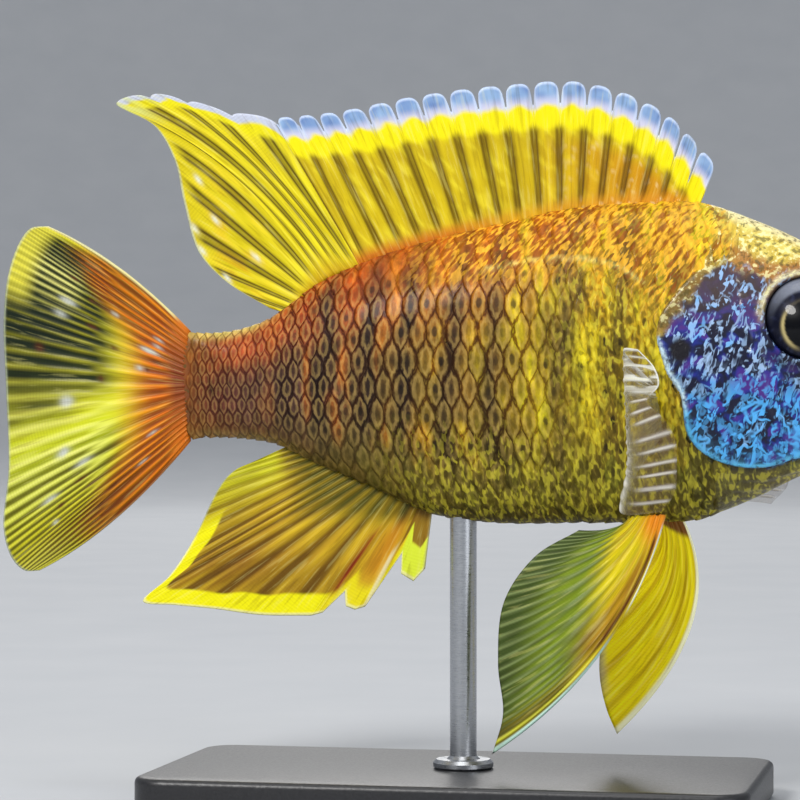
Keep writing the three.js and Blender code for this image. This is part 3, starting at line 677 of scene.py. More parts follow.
class Shader:
    """A node material, built up step by step."""

    def __init__(self, name: str, rough: float, coat: float = 0.0, specular: float = 0.5) -> None:
        """Start from one glossy surface."""
        self.material = bpy.data.materials.new(name)
        self.material.use_nodes = True
        self.tree = self.material.node_tree
        self.surface = self.tree.nodes["Principled BSDF"]
        self.set("Roughness", rough)
        self.set("Coat Weight", coat)
        self.set("Coat Roughness", 0.12)
        self.set("Specular IOR Level", specular)

    def set(self, key: str, value: float | Socket | Array) -> None:
        """Set or link one input of the surface."""
        self._feed(self.surface.inputs[key], value)

    def _feed(self, socket: Socket, value: float | Socket | Array) -> None:
        """Link a socket, or set its value."""
        if isinstance(value, Socket):
            self.tree.links.new(value, socket)
        elif socket.type == "RGBA":
            socket.default_value = (*value, 1)
        else:
            socket.default_value = value

    def node(self, kind: str, inputs: dict, **settings) -> bpy.types.Node:
        """Add a node.

        Args:
            kind: The shader node's type.
            inputs: Values or sockets by input name or number.
            **settings: The node's own choices.

        Returns:
            The node.
        """
        node = self.tree.nodes.new("ShaderNode" + kind)
        for key, value in settings.items():
            setattr(node, key, value)
        for key, value in inputs.items():
            self._feed(node.inputs[key], value)
        return node

    def mark(self, name: str) -> Socket:
        """Number kept on the mesh's points."""
        return self.node("Attribute", {}, attribute_name=name).outputs["Fac"]

    def tint(self) -> Socket:
        """Colour kept on the mesh's points."""
        return self.node("Attribute", {}, attribute_name="tint").outputs["Color"]

    def place(self, stretch: Sequence[float] = (1, 1, 1), lean: float = 0) -> Socket:
        """Object coordinates, leant over by degrees about Y and then stretched."""
        own = self.node("TexCoord", {}).outputs["Object"]
        turn = (0, math.radians(lean), 0)
        turned = self.node("Mapping", {"Vector": own, "Rotation": turn})
        return self.node("Mapping", {"Vector": turned.outputs[0], "Scale": stretch}).outputs[0]

    def map_place(self, name: str) -> tuple[Socket, Socket]:
        """The two coordinates of a UV map."""
        own = self.node("UVMap", {}, uv_map=name).outputs[0]
        parts = self.node("SeparateXYZ", {0: own})
        return parts.outputs[0], parts.outputs[1]

    def noise(self, vector: Socket, scale: float, detail: float, warp: float = 0) -> Socket:
        """Soft noise from 0 to 1."""
        inputs = {"Vector": vector, "Scale": scale, "Detail": detail, "Distortion": warp}
        return self.node("TexNoise", inputs).outputs[0]

    def cells(self, vector: Socket, scale: float) -> Socket:
        """Distances in a pattern of cells."""
        return self.node("TexVoronoi", {"Vector": vector, "Scale": scale}).outputs["Distance"]

    def maths(self, operation: str, *values: float | Socket) -> Socket:
        """One sum on numbers."""
        return self.node("Math", dict(enumerate(values)), operation=operation).outputs[0]

    def times(self, value: Socket, other: float | Socket) -> Socket:
        """Product of two numbers."""
        return self.maths("MULTIPLY", value, other)

    def scaled(self, value: Socket, factor: float | Socket, shift: float | Socket) -> Socket:
        """A number times a factor, plus a shift."""
        return self.maths("MULTIPLY_ADD", value, factor, shift)

    def step(self, value: Socket, low: float, high: float) -> Socket:
        """Smooth step from 0 at low to 1 at high, either way round."""
        falls = low > high
        inputs = {0: value, 1: min(low, high), 2: max(low, high), 3: float(falls), 4: float(not falls)}
        return self.node("MapRange", inputs, interpolation_type="SMOOTHSTEP").outputs[0]

    def mix(
        self, under: Socket | Array, over: Socket | Array, amount: float | Socket, way: str = "MIX"
    ) -> Socket:
        """One colour laid over another."""
        inputs = {0: amount, 6: under, 7: over}
        return self.node("Mix", inputs, data_type="RGBA", blend_type=way).outputs[2]

    def strokes(self, colour: Socket, noise: Socket, share: Socket, kinds: Sequence[Stroke]) -> Socket:
        """Light and dark strokes over a colour, where the share lets them show."""
        for kind in kinds:
            amount = self.times(self.step(noise, kind.none, kind.full), share)
            colour = self.mix(colour, tone(*kind.colour), self.times(amount, kind.strength))
        return colour

    def streaks(self, colour: Socket, share: Socket) -> Socket:
        """Fine upright streaks over a colour."""
        upright = self.place(stretch=(1, 0.4, 0.45), lean=6)
        return self.strokes(colour, self.noise(upright, 1500, 1, 0.4), share, UPRIGHT)

    def relief(self, height: Socket, depth: float) -> None:
        """Fine relief, with its depth in millimetres."""
        inputs = {"Height": height, "Distance": depth * MM, "Strength": 1}
        self.set("Normal", self.node("Bump", inputs).outputs[0])


@dataclass(frozen=True)
class SkinFinish:
    """Wet skin: yellow and olive, with a blue mask of light strokes on navy."""

    fine_strokes: float = 760.0
    bold_strokes: float = 440.0

    def make(self) -> Material:
        """Build the material."""
        shader = Shader("wet_skin", 0.42, coat=0.22, specular=0.3)
        flat = shader.place(stretch=(1, 0.8, 1))
        leaning = shader.place(stretch=(1, 0.8, 0.5), lean=-18)
        fine = shader.noise(flat, 1500, 3)
        speck = shader.noise(flat, 1250, 3)
        dark = shader.times(shader.step(speck, 0.53, 0.63), 0.7)
        colour = shader.mix(shader.tint(), tone(84, 74, 26), dark)
        parts = shader.node("SeparateXYZ", {0: shader.place()}).outputs
        z = parts[2]
        light = shader.times(shader.step(speck, 0.47, 0.38), shader.step(z, 0.05, 0.1))
        light = shader.times(light, shader.step(parts[0], -0.03, 0.01))
        colour = shader.mix(colour, tone(255, 250, 180), light)
        colour = shader.streaks(colour, shader.step(z, 0.056, 0.05))
        lower = shader.step(z, 0.067, 0.058)
        marks = self._marks(shader, flat, leaning, lower)
        mask = shader.mix(self._deep(shader, flat, z), self._light(shader, flat, lower), marks)
        colour = shader.mix(colour, mask, shader.mark("blue"))
        # The gill cover's cyan edge is its own colour; its whiter upper part is a painted highlight.
        rim = shader.times(shader.mark("rim"), shader.step(fine, 0.25, 0.6))
        rim_colour_and_painted_highlight = shader.mix(tone(104, 204, 250), tone(212, 240, 248), shader.step(z, 0.0575, 0.061))
        colour = shader.mix(colour, rim_colour_and_painted_highlight, rim)
        # Dark marks: the gill-cover spot, and painted shade in the eye's socket, under the eye, in the gill
        # slit, the jaw crease and the mouth's slit.
        colour = shader.mix(colour, tone(12, 9, 20), shader.mark("dark"))
        shader.set("Base Color", colour)
        bumps = shader.cells(flat, 1100)
        height = shader.times(bumps, shader.mark("scaly"))
        height = shader.scaled(marks, 0.3, height)
        height = shader.scaled(fine, 0.35, height)
        shader.relief(height, 0.12)
        return shader.material

    def _deep(self, shader: Shader, flat: Socket, z: Socket) -> Socket:
        """Navy, royal blue and violet between the light strokes, browner at the top."""
        broad = shader.noise(flat, 330, 2, 0.5)
        deep = shader.mix(tone(7, 11, 42), tone(22, 52, 168), shader.step(broad, 0.44, 0.66))
        violet = shader.noise(flat, 330, 2, 0.6)
        deep = shader.mix(deep, tone(70, 36, 128), shader.step(violet, 0.52, 0.64))
        brown = shader.times(shader.step(z, 0.0695, 0.077), 0.85)
        return shader.mix(deep, tone(72, 56, 52), brown)

    def _light(self, shader: Shader, flat: Socket, lower: Socket) -> Socket:
        """Lilac-white strokes above, pale cyan ones below."""
        shift = shader.scaled(shader.noise(flat, 330, 1), 1.6, -0.6)
        shift = shader.maths("ADD", shift, shader.times(lower, 0.6))
        return shader.mix(tone(164, 196, 236), tone(84, 180, 248), shader.step(shift, 0.1, 0.7))

    def _marks(self, shader: Shader, flat: Socket, leaning: Socket, lower: Socket) -> Socket:
        """Flecks and short curved strokes, finer above and bolder below."""
        fleck = shader.step(shader.noise(leaning, 1150, 2, 0.4), 0.565, 0.63)
        fine = shader.times(self._strokes(shader, leaning, self.fine_strokes, 0.08), 0.7)
        fine = shader.maths("MAXIMUM", fine, fleck)
        fleck = shader.step(shader.noise(leaning, 760, 2, 0.7), 0.57, 0.63)
        bold = shader.times(self._strokes(shader, flat, self.bold_strokes, 0.1), 0.95)
        bold = shader.maths("MAXIMUM", bold, fleck)
        fine = shader.times(fine, shader.scaled(lower, -0.3, 0.9))
        return shader.maths("MAXIMUM", fine, shader.times(bold, lower))

    def _strokes(self, shader: Shader, vector: Socket, scale: float, width: float) -> Socket:
        """Contour lines of a noise, broken up by another."""
        field = shader.noise(vector, scale, 1, 0.7)
        away = shader.maths("ABSOLUTE", shader.maths("SUBTRACT", field, 0.5))
        broken = shader.step(shader.noise(vector, 1.5 * scale, 1), 0.47, 0.55)
        return shader.times(shader.step(away, width, 0.2 * width), broken)


@dataclass(frozen=True)
class ScaleFinish:
    """Scales: a dark outline, a light ring inside it and a small dark spot in the middle."""

    def make(self) -> Material:
        """Build the material."""
        shader = Shader("scale_coat", 0.52, coat=0.05, specular=0.12)
        across, up = shader.map_place("lens")
        flat = shader.place(stretch=(1, 0.4, 1))
        upright = shader.place(stretch=(1, 0.4, 0.45), lean=6)
        slanted = shader.place(stretch=(1, 0.4, 0.28), lean=-36)
        fine = shader.noise(upright, 2100, 3)
        reach = shader.step(shader.maths("ABSOLUTE", up), 0.88, 0.12)
        edge = shader.maths("SUBTRACT", reach, shader.maths("ABSOLUTE", across))
        edge = shader.maths("ADD", edge, shader.scaled(fine, 0.9, -0.45))
        net = shader.mark("net")
        tint = shader.tint()
        light = shader.mix(tint, tone(244, 206, 116), 0.18)
        ring = shader.times(shader.step(edge, 0.22, 0.4), shader.step(edge, 0.84, 0.56))
        colour = shader.mix(tint, light, shader.times(ring, net))
        wide = shader.maths("DIVIDE", across, 0.34)
        tall = shader.maths("DIVIDE", up, 0.2)
        spot = shader.scaled(wide, wide, shader.times(tall, tall))
        spot = shader.maths("ADD", spot, shader.scaled(fine, 2.0, -1.0))
        spot = shader.times(shader.step(spot, 1.3, 0.3), shader.mark("spot"))
        colour = shader.mix(colour, tone(34, 24, 16), spot)
        dark = shader.mix(tint, tone(158, 130, 114), 1.0, "MULTIPLY")
        line = shader.step(shader.maths("ABSOLUTE", edge), 0.26, 0.04)
        colour = shader.mix(colour, dark, shader.times(line, net))
        slant = shader.noise(slanted, 1700, 1, 0.3)
        colour = shader.strokes(colour, slant, shader.mark("nape"), SLANTED)
        colour = shader.streaks(colour, shader.mark("streaky"))
        grain = shader.scaled(shader.noise(upright, 1300, 3), 1.7, 0.1)
        grey = shader.node("CombineColor", {0: grain, 1: grain, 2: grain}).outputs[0]
        shader.set("Base Color", shader.mix(colour, grey, 1.0, "MULTIPLY"))
        bumps = shader.scaled(shader.noise(flat, 2600, 2), 0.6, fine)
        shader.relief(bumps, 0.05)
        return shader.material


@dataclass(frozen=True)
class FinFinish:
    """Fin skin: painted rays and webs with fine streaks and the joints of the soft rays, and an optional
    glow of painted light.
    """

    name: str
    clear: bool = False
    joint: float = 0.5
    glow: float = 0.0

    def make(self) -> Material:
        """Build the material."""
        shader = Shader(self.name, 0.5, coat=0.04, specular=0.14)
        across, along = shader.map_place("fin")
        turns = shader.times(along, 2 * math.pi / self.joint)
        ladder = shader.scaled(shader.maths("SINE", turns), 0.5, 0.5)
        flow = shader.node("CombineXYZ", {
            0: shader.times(across, 2.4), 1: shader.times(along, 0.05),
        })
        streak = shader.noise(flow.outputs[0], 2.6, 3, 0.2)
        beads = shader.times(ladder, shader.mark("bead"))
        tint = shader.tint()
        dark = shader.mix(tint, tone(150, 128, 90), 1.0, "MULTIPLY")
        colour = shader.mix(tint, dark, shader.times(shader.step(streak, 0.52, 0.66), 0.3))
        light = shader.mix(tint, tone(255, 246, 150), 0.14)
        colour = shader.mix(colour, light, shader.step(streak, 0.46, 0.34))
        colour = shader.mix(colour, dark, shader.times(beads, 0.6))
        shader.set("Base Color", colour)
        shader.relief(shader.scaled(beads, 0.3, streak), 0.04)
        if self.clear:
            shader.set("Alpha", shader.mark("solid"))
        # Glow: painted light, an emission in the fin's own colours that lightens a fin lying in shade.
        if self.glow:
            shader.set("Emission Color", colour)
            shader.set("Emission Strength", self.glow)
        return shader.material


@dataclass(frozen=True)
class EyeFinish:
    """Wet eye: the painted iris under a smooth coat."""

    def make(self) -> Material:
        """Build the material."""
        shader = Shader("wet_eye", 0.3, coat=0.25, specular=0.08)
        shader.set("Coat Roughness", 0.02)
        grain = shader.noise(shader.place(), 1800, 3)
        colour = shader.mix(shader.tint(), tone(8, 10, 20), shader.times(grain, 0.3))
        shader.set("Base Color", colour)
        return shader.material


@dataclass(frozen=True)
class GrainFinish:
    """Plain material with a fine grain, from a dark to a light tone."""

    name: str
    dark: tuple[int, int, int]
    light: tuple[int, int, int]
    scale: float
    detail: float
    rough: float
    rougher: float = 0.0
    relief: float = 0.0
    specular: float = 0.5
    metallic: float = 0.0
    stretch: tuple[float, float, float] = (1, 1, 1)

    def make(self) -> Material:
        """Build the material."""
        shader = Shader(self.name, self.rough, specular=self.specular)
        shader.set("Metallic", self.metallic)
        grain = shader.noise(shader.place(stretch=self.stretch), self.scale, self.detail)
        shader.set("Base Color", shader.mix(tone(*self.dark), tone(*self.light), grain))
        if self.rougher:
            shader.set("Roughness", shader.scaled(grain, self.rougher, self.rough))
        if self.relief:
            shader.relief(grain, self.relief)
        return shader.material


SATIN_BLACK = GrainFinish("satin_black", (22, 22, 24), (44, 44, 47), 2600, 4, 0.28, 0.2, 0.03)
BRUSHED_STEEL = GrainFinish(
    "brushed_steel", (150, 153, 158), (205, 207, 210), 9000, 2, 0.18, 0.25, metallic=1.0,
    stretch=(0.1, 0.1, 1),
)
PALE_PAPER = GrainFinish("pale_paper", (186, 189, 193), (196, 198, 201), 30, 4, 0.85, specular=0.2)


# Skin


@dataclass
class Skin:
    """One closed skin over head, jaw, gill covers, trunk and tail stalk."""

    body: BodyForm
    markings: Markings
    around: int = 440
    trunk_rings: int = 56
    head_rings: int = 150
    snout_rings: int = 12
    trunk_end: float = 29.0
    snout_from: float = 69.3
    snout_depth: float = 2.4
    tail_end: float = -42.6
    under_scales: float = 0.25

    def build(self) -> Piece:
        """Shape, paint and place the skin."""
        x, rounding = self._rings()
        share = np.arange(self.around + 1) / self.around
        right = share < 0.5
        turn = np.where(right, 2 * share - 0.5, 1.5 - 2 * share)
        side = np.where(right, -1.0, 1.0)
        places = self.body.surface(x[:, None], turn[None], side[None], rounding[:, None])
        places[0, :, 1] = 0
        places[0, :, 0] -= 0.5
        out = self._normals(places)
        depth = gill_depth(places[..., 0], places[..., 2])
        places = places + out * self._relief(places, depth)[..., None]
        mesh, column, row = lattice("skin", len(x) - 1, self.around)
        write_points(mesh, places[column, row])
        for name, values in self._marks(places, depth).items():
            write_mark(mesh, name, values[column, row])
        close_form(mesh)
        nodes = ("head", "lower_jaw", "gill_cover_right", "gill_cover_left", "trunk", "tail_stalk")
        return finish_piece(mesh, SkinFinish().make(), nodes)

    def _rings(self) -> tuple[Array, Array]:
        """Places of the rings along the body, and how far each is drawn in."""
        trunk = np.linspace(self.tail_end, self.trunk_end, self.trunk_rings, endpoint=False)
        head = np.linspace(self.trunk_end, self.snout_from, self.head_rings)
        angle = np.linspace(0, np.pi / 2, self.snout_rings + 1)[1:]
        snout = self.snout_from + self.snout_depth * np.sin(angle)
        x = np.concatenate([trunk[:1], trunk, head, snout])
        rounding = np.concatenate([np.ones(1 + len(trunk) + len(head)), np.cos(angle)])
        rounding[-1] = 0
        return x, rounding

    def _normals(self, places: Array) -> Array:
        """Directions out of the smooth body."""
        wrapped = np.concatenate([places[:, -2:-1], places, places[:, 1:2]], axis=1)
        along = np.gradient(places, axis=0)
        up = np.gradient(wrapped, axis=1)[:, 1:-1]
        out = np.cross(along, up)
        centre = places.mean(axis=1, keepdims=True)
        inward = (out * (places - centre)).sum(-1) < 0
        out[inward] *= -1
        length = np.linalg.norm(out, axis=-1, keepdims=True)
        out = np.where(length > 1e-7, out / np.maximum(length, 1e-7), [1.0, 0.0, 0.0])
        out[-1] = [1.0, 0.0, 0.0]
        return out

    def _relief(self, places: Array, depth: Array) -> Array:
        """How far the skin stands out from the smooth body, in millimetres."""
        x, y, z = np.moveaxis(places, -1, 0)
        flank = soft(np.abs(y), 0.6, 2.5)
        scaled = soft(depth, 0.6, -0.2) * soft(x, 52, 46)
        relief = -self.under_scales * scaled
        flap = 0.15 + 0.34 * np.exp(-np.clip(depth, 0, None) / 2.6)
        on_cover = soft(depth, -0.1, 0.22) * soft(x, 56, 50) * soft(z, 82, 78)
        relief = relief + flap * on_cover * flank
        slit = hump(depth, -0.35, 0.4) * soft(x, 56, 50) * soft(z, 81, 78)
        relief = relief - 0.4 * slit * flank
        behind = np.sign(np.interp(z, (52, 60, 76.6), (50, 45.6, 42.2)) - x)
        ridge = GILL_RIDGE.distance(x, z, 60) * behind
        relief = relief + flank * (0.2 * hump(ridge, -0.7, 0.6) - 0.2 * hump(ridge, 0.3, 0.45))
        relief = relief + self._mouth(x, z)
        crease = JAW_CREASE.distance(x, z, 40)
        relief = relief - 0.28 * hump(crease, 0, 0.35) * flank
        relief = relief + self._orbit(places) + self._nostril(x, z) * flank
        return relief + self._pits(x, z) * flank + self._throat(x, z, y)

    def _mouth(self, x: Array, z: Array) -> Array:
        """Thick lips on each side of the mouth's slit, thinned out to its corners."""
        slit = height_on(MOUTH_SLIT, x)
        away = (z - slit) * math.cos(math.radians(25))
        fade = soft(x, 60.6, 63.4)
        upper = 0.95 * hump(away, 1.0, 0.68)
        lower = 0.85 * hump(away, -1.0, 0.66)
        gap = 0.95 * hump(away, 0, 0.22)
        fold = 0.25 * hump(away, 2.5, 0.4) * soft(x, 71, 68)
        return fade * (upper + lower - gap - fold)

    def eye_distance(self, places: Array) -> Array:
        """Distance of places from the axis of the eye on their own side."""
        side = np.where(places[..., 1] > 0, 1.0, -1.0)
        axis = unit(joined(EYE_AXIS[0], side, EYE_AXIS[2]))
        arm = places - joined(EYE_PLACE[0], side * eye_out(self.body), EYE_PLACE[1])
        return np.linalg.norm(arm - (arm * axis).sum(-1, keepdims=True) * axis, axis=-1)

    def _orbit(self, places: Array) -> Array:
        """Socket of the eye with its raised rim and a crease round it."""
        away = self.eye_distance(places)
        rim = 0.5 * hump(away, 6.5, 0.5) - 0.12 * hump(away, 7.7, 0.4)
        return rim - 3.4 * soft(away, 6.15, 5.55)

    def _nostril(self, x: Array, z: Array) -> Array:
        """Pit of the nostril with its low rim."""
        away = np.hypot(x - NOSTRIL[0], z - NOSTRIL[1])
        return 0.25 * hump(away, 0.85, 0.3) - 0.85 * soft(away, 0.65, 0.3)

    def _pits(self, x: Array, z: Array) -> Array:
        """Shallow sensory pits under the eye and along the jaw."""
        pits = np.zeros(np.shape(x))
        for angle in np.radians(np.linspace(205, 325, 6)):
            px = EYE_PLACE[0] + 8.7 * math.cos(angle)
            pz = EYE_PLACE[1] + 8.7 * math.sin(angle)
            pits = pits - 0.3 * hump(np.hypot(x - px, z - pz), 0, 0.7)
        for share in np.linspace(0, 1, 5):
            px = 47.5 + 12.5 * share
            pz = 56.6 + 0.9 * share
            pits = pits - 0.25 * hump(np.hypot(x - px, z - pz), 0, 0.6)
        return pits

    def _throat(self, x: Array, z: Array, y: Array) -> Array:
        """Folds of the gill membrane under the head."""
        below = height_on(BLUE_FOOT, x) - z
        band = span(below, 0.4, 1.0, 3.5, 5.5) * span(x, 40, 43, 55, 60)
        return 0.1 * band * np.cos(2 * np.pi * below / 1.5) * soft(np.abs(y), 0.3, 1.5)

    def _marks(self, places: Array, depth: Array) -> dict[str, Array]:
        """Colours and masks of the skin's points."""
        x, y, z = np.moveaxis(places, -1, 0)
        blue = self.markings.blue(x, z)
        on_head = np.max([soft(depth, -0.1, 0.3), soft(x, 46, 50), self.markings.on_nape(x, z)], axis=0)
        on_head = on_head * (1 - soft(z, 78, 82) * (1 - self.markings.on_nape(x, z)))
        tint = lay(self.markings.flank(x, z), self.markings.head(x, y, z), on_head)
        slit = height_on(MOUTH_SLIT, x)
        lips = hump(z - slit, 0, 1.9) * soft(x, 61, 64)
        tint = lay(tint, tone(122, 150, 196), lips)
        eye = self.eye_distance(places)
        lid = hump(eye, 6.85, 0.5) * soft(z, 70, 75)
        tint = lay(tint, tone(204, 196, 156), lid)
        blue = blue * (1 - 0.85 * lid) * (1 - 0.75 * lips)
        # Rim: the cyan edge of the gill cover, which the finish paints whiter on its upper part as a
        # painted highlight.
        rim = hump(depth, 0.5, 0.34) * soft(z, 70, 68) + 0.1 * hump(depth, 1.5, 1.1) * soft(z, 60, 55)
        rim = rim * soft(x, 57, 51)
        # The dark mark: the spot on the gill cover is the fish's own colour; the rest is painted shade
        # under the eye, in the eye's socket, in the gill slit under the cover's edge, in the jaw crease and
        # in the mouth's slit.
        spot = soft(np.hypot((x - 34.1) * 1.1, z - 67.6), 2.3, 1.3) * soft(depth, 0.8, 1.2)
        under = hump(eye, 7.6, 1.1) * soft(z, 70, 66) * 0.7
        painted_gill_slit_shade = hump(depth, -0.4, 0.32) * soft(x, 56, 50) * soft(z, 81, 78) * 0.5
        crease = hump(JAW_CREASE.distance(x, z, 40), 0, 0.22) * 0.6
        mouth = hump(z - slit, 0, 0.25) * soft(x, 61, 62.5)
        dark = np.max([spot, under, soft(eye, 6.3, 5.9), painted_gill_slit_shade, crease, mouth], axis=0)
        scaly = soft(depth, 0.2, -0.3) + soft(z - height_on(BLUE_TOP, x), 0, 1)
        return {"tint": tint, "blue": blue, "rim": rim, "dark": dark, "scaly": np.clip(scaly, 0, 1)}


# Scales


@dataclass
class ScaleCoat:
    """Solid overlapping scales of one side, in slanting rows from the gill cover to the tail."""

    side: Side
    arcs: ArcMap
    markings: Markings
    first: float = 43.0
    last: float = -42.0
    rows: int = 11
    row_phase: float = 0.34
    lie: float = -0.06
    lift: float = 0.12
    skirt: float = -0.2
    dive: float = 0.26
    tip: float = 0.88
    drift: tuple[float, float] = (0.05, 0.035)
    across: int = 6
    tall: int = 10
    pitch_places: tuple = (-42, -30, -20, -8, 10, 32, 45)
    pitches: tuple = (1.35, 1.6, 2.1, 2.6, 2.6, 2.2, 1.7)
    row_gaps: tuple = (1.85, 2.1, 3.1, 4.1, 4.3, 3.6, 2.9)

    def build(self) -> Piece:
        """Lay the scales and paint them."""
        roots = self._roots()
        mesh, column, row = self._plates(len(roots))
        draw = np.random.default_rng(5)
        x0, arc0, pitch, gap, low, high = (roots[:, k, None] for k in range(6))
        x0 = x0 + draw.normal(0, self.drift[0], x0.shape) * pitch
        arc0 = arc0 + draw.normal(0, self.drift[1], x0.shape) * gap
        q = np.minimum(column / (self.across - 1), 1)[None]
        b = (2 * row / self.tall - 1)[None]
        tuck = (column == self.across)[None]
        rear = (0.51 * soft(self.tip * np.abs(b), 0.88, 0.12) + 0.02) * pitch
        front = -rear - 0.3 * pitch * (1 - b * b)
        along = front + (rear - front) * q
        x = x0 - along
        arc = np.clip(arc0 + self.tip * b * gap, low + 0.1, high - 0.1)
        share = np.clip(along / pitch + 0.7, 0, 1.3)
        points = self.arcs.point(x, arc, self.side)
        sunk = soft(x, 36, 40) * soft(points[..., 2], 54, 48)
        share = share * (1 - sunk) * span(x, -43.5, -41, 40, 44)
        height = self.lie + (self.lift - self.lie) * share - self.dive * sunk
        height = np.where(tuck, height + self.skirt, height)
        points = points + self.arcs.normal(x, arc, self.side) * height[..., None]
        write_points(mesh, points.reshape(-1, 3))
        self._paint(mesh, points, roots, draw)
        lens = joined(along / (0.5 * pitch), self.tip * b)
        write_map(mesh, "lens", lens.reshape(-1, 2))
        write_map(mesh, "OFBake", self._bake_places(roots, q, b).reshape(-1, 2))
        return finish_piece(mesh, ScaleFinish().make(), ())

    def _paint(self, mesh: Mesh, points: Array, roots: Array, draw: np.random.Generator) -> None:
        """Colours of the plates, and how far their net, spots and slanting strokes show."""
        x, y, z = np.moveaxis(points, -1, 0)
        height = self.markings.body.height(x, z)
        front = self.markings.on_nape(x, z)
        tint = lay(self.markings.flank(x, z), self.markings.head(x, y, z), front)
        jitter = draw.normal(1, 0.09, (len(roots), 1, 1)) * draw.normal(1, 0.03, (len(roots), 1, 3))
        write_mark(mesh, "tint", (tint * jitter).reshape(-1, 3))
        write_mark(mesh, "spot", np.broadcast_to(self._spots(roots, draw)[:, None], x.shape).ravel())
        fade = np.max([0.9 * soft(x, 9, 24), 0.85 * soft(height, 0.76, 0.92) * soft(x, -26, -8),
                       0.55 * soft(height, 0.3, 0.08), 0.3 * soft(x, -24, -30), 0.7 * soft(x, -38, -42),
                       soft(x, 34, 40)], axis=0)
        write_mark(mesh, "net", ((1 - fade) * (1 - front)).ravel())
        low = 0.74 - 0.16 * soft(x, 20, 33)
        nape = soft(height, low, low + 0.14) * soft(x, -12, 6) * (1 - front)
        write_mark(mesh, "nape", nape.ravel())
        fine = np.maximum(soft(x, 10, 24), soft(height, 0.4, 0.16) * soft(x, -16, 2))
        write_mark(mesh, "streaky", (fine * (1 - nape) * (1 - front)).ravel())

    def _spots(self, roots: Array, draw: np.random.Generator) -> Array:
        """Strength of each scale's dark spot: strong within the bars, and on a few at random."""
        x = roots[:, 0]
        z = self.arcs.point(x, roots[:, 1], self.side)[:, 2]
        strong = (draw.random(len(roots)) < 0.25) * soft(x, -26, -12)
        height = self.markings.body.height(x, z)
        fade = span(height, 0.05, 0.2, 0.8, 0.95) * soft(x, -34, -26)
        return fade * np.clip(0.22 + 0.4 * self.markings.bars(x, z) + 0.5 * strong, 0, 0.9)

    def _roots(self) -> Array:
        """Place, distance from the level line, pitch, row gap and reach down and up of each scale."""
        roots = []
        x = self.first
        k = 0
        while x > self.last:
            pitch = float(np.interp(x, self.pitch_places, self.pitches))
            gap = float(np.interp(x, self.pitch_places, self.row_gaps))
            low, high = self.arcs.reach(x)
            for j in range(-self.rows, self.rows + 1):
                arc = gap * (j + self.row_phase)
                if (j + k) % 2 == 0 and low - 0.3 < arc < high + 0.3 and self._grows(x, arc):
                    roots.append((x, arc, pitch, gap, low, high))
            x -= pitch / 2
            k += 1
        return np.array(roots)

    def _grows(self, x: float, arc: float) -> bool:
        """Whether a scale may grow at a place: not on the gill cover, nor on the throat."""
        place = self.arcs.point(np.array([x]), np.array([arc]), self.side)[0]
        depth = float(gill_depth(place[None, 0], place[None, 2])[0])
        nape = place[2] > float(height_on(BLUE_TOP, x)) + 0.8 and x < 45
        return (depth < 0.1 and x < 40.5) or (nape and depth < 8)

    def _plates(self, count: int) -> tuple[Mesh, Array, Array]:
        """One mesh of many flat plates, with the column and the row of a plate's points."""
        plate, column, row = lattice("plate", self.across, self.tall)
        form = bmesh.new()
        for _ in range(count):
            form.from_mesh(plate)
        bpy.data.meshes.remove(plate)
        return keep_form(form, f"scales_{self.side.word}"), column, row

    def _bake_places(self, roots: Array, q: Array, b: Array) -> Array:
        """A small patch for each scale at its root's place on the unrolled flank."""
        patch = 0.003
        u = (roots[:, 0, None] + 46) / 100 + patch * (q - 0.5)
        v = 0.5 + roots[:, 1, None] / 72 + patch * b / 2
        return joined(u, v)


# Eyes


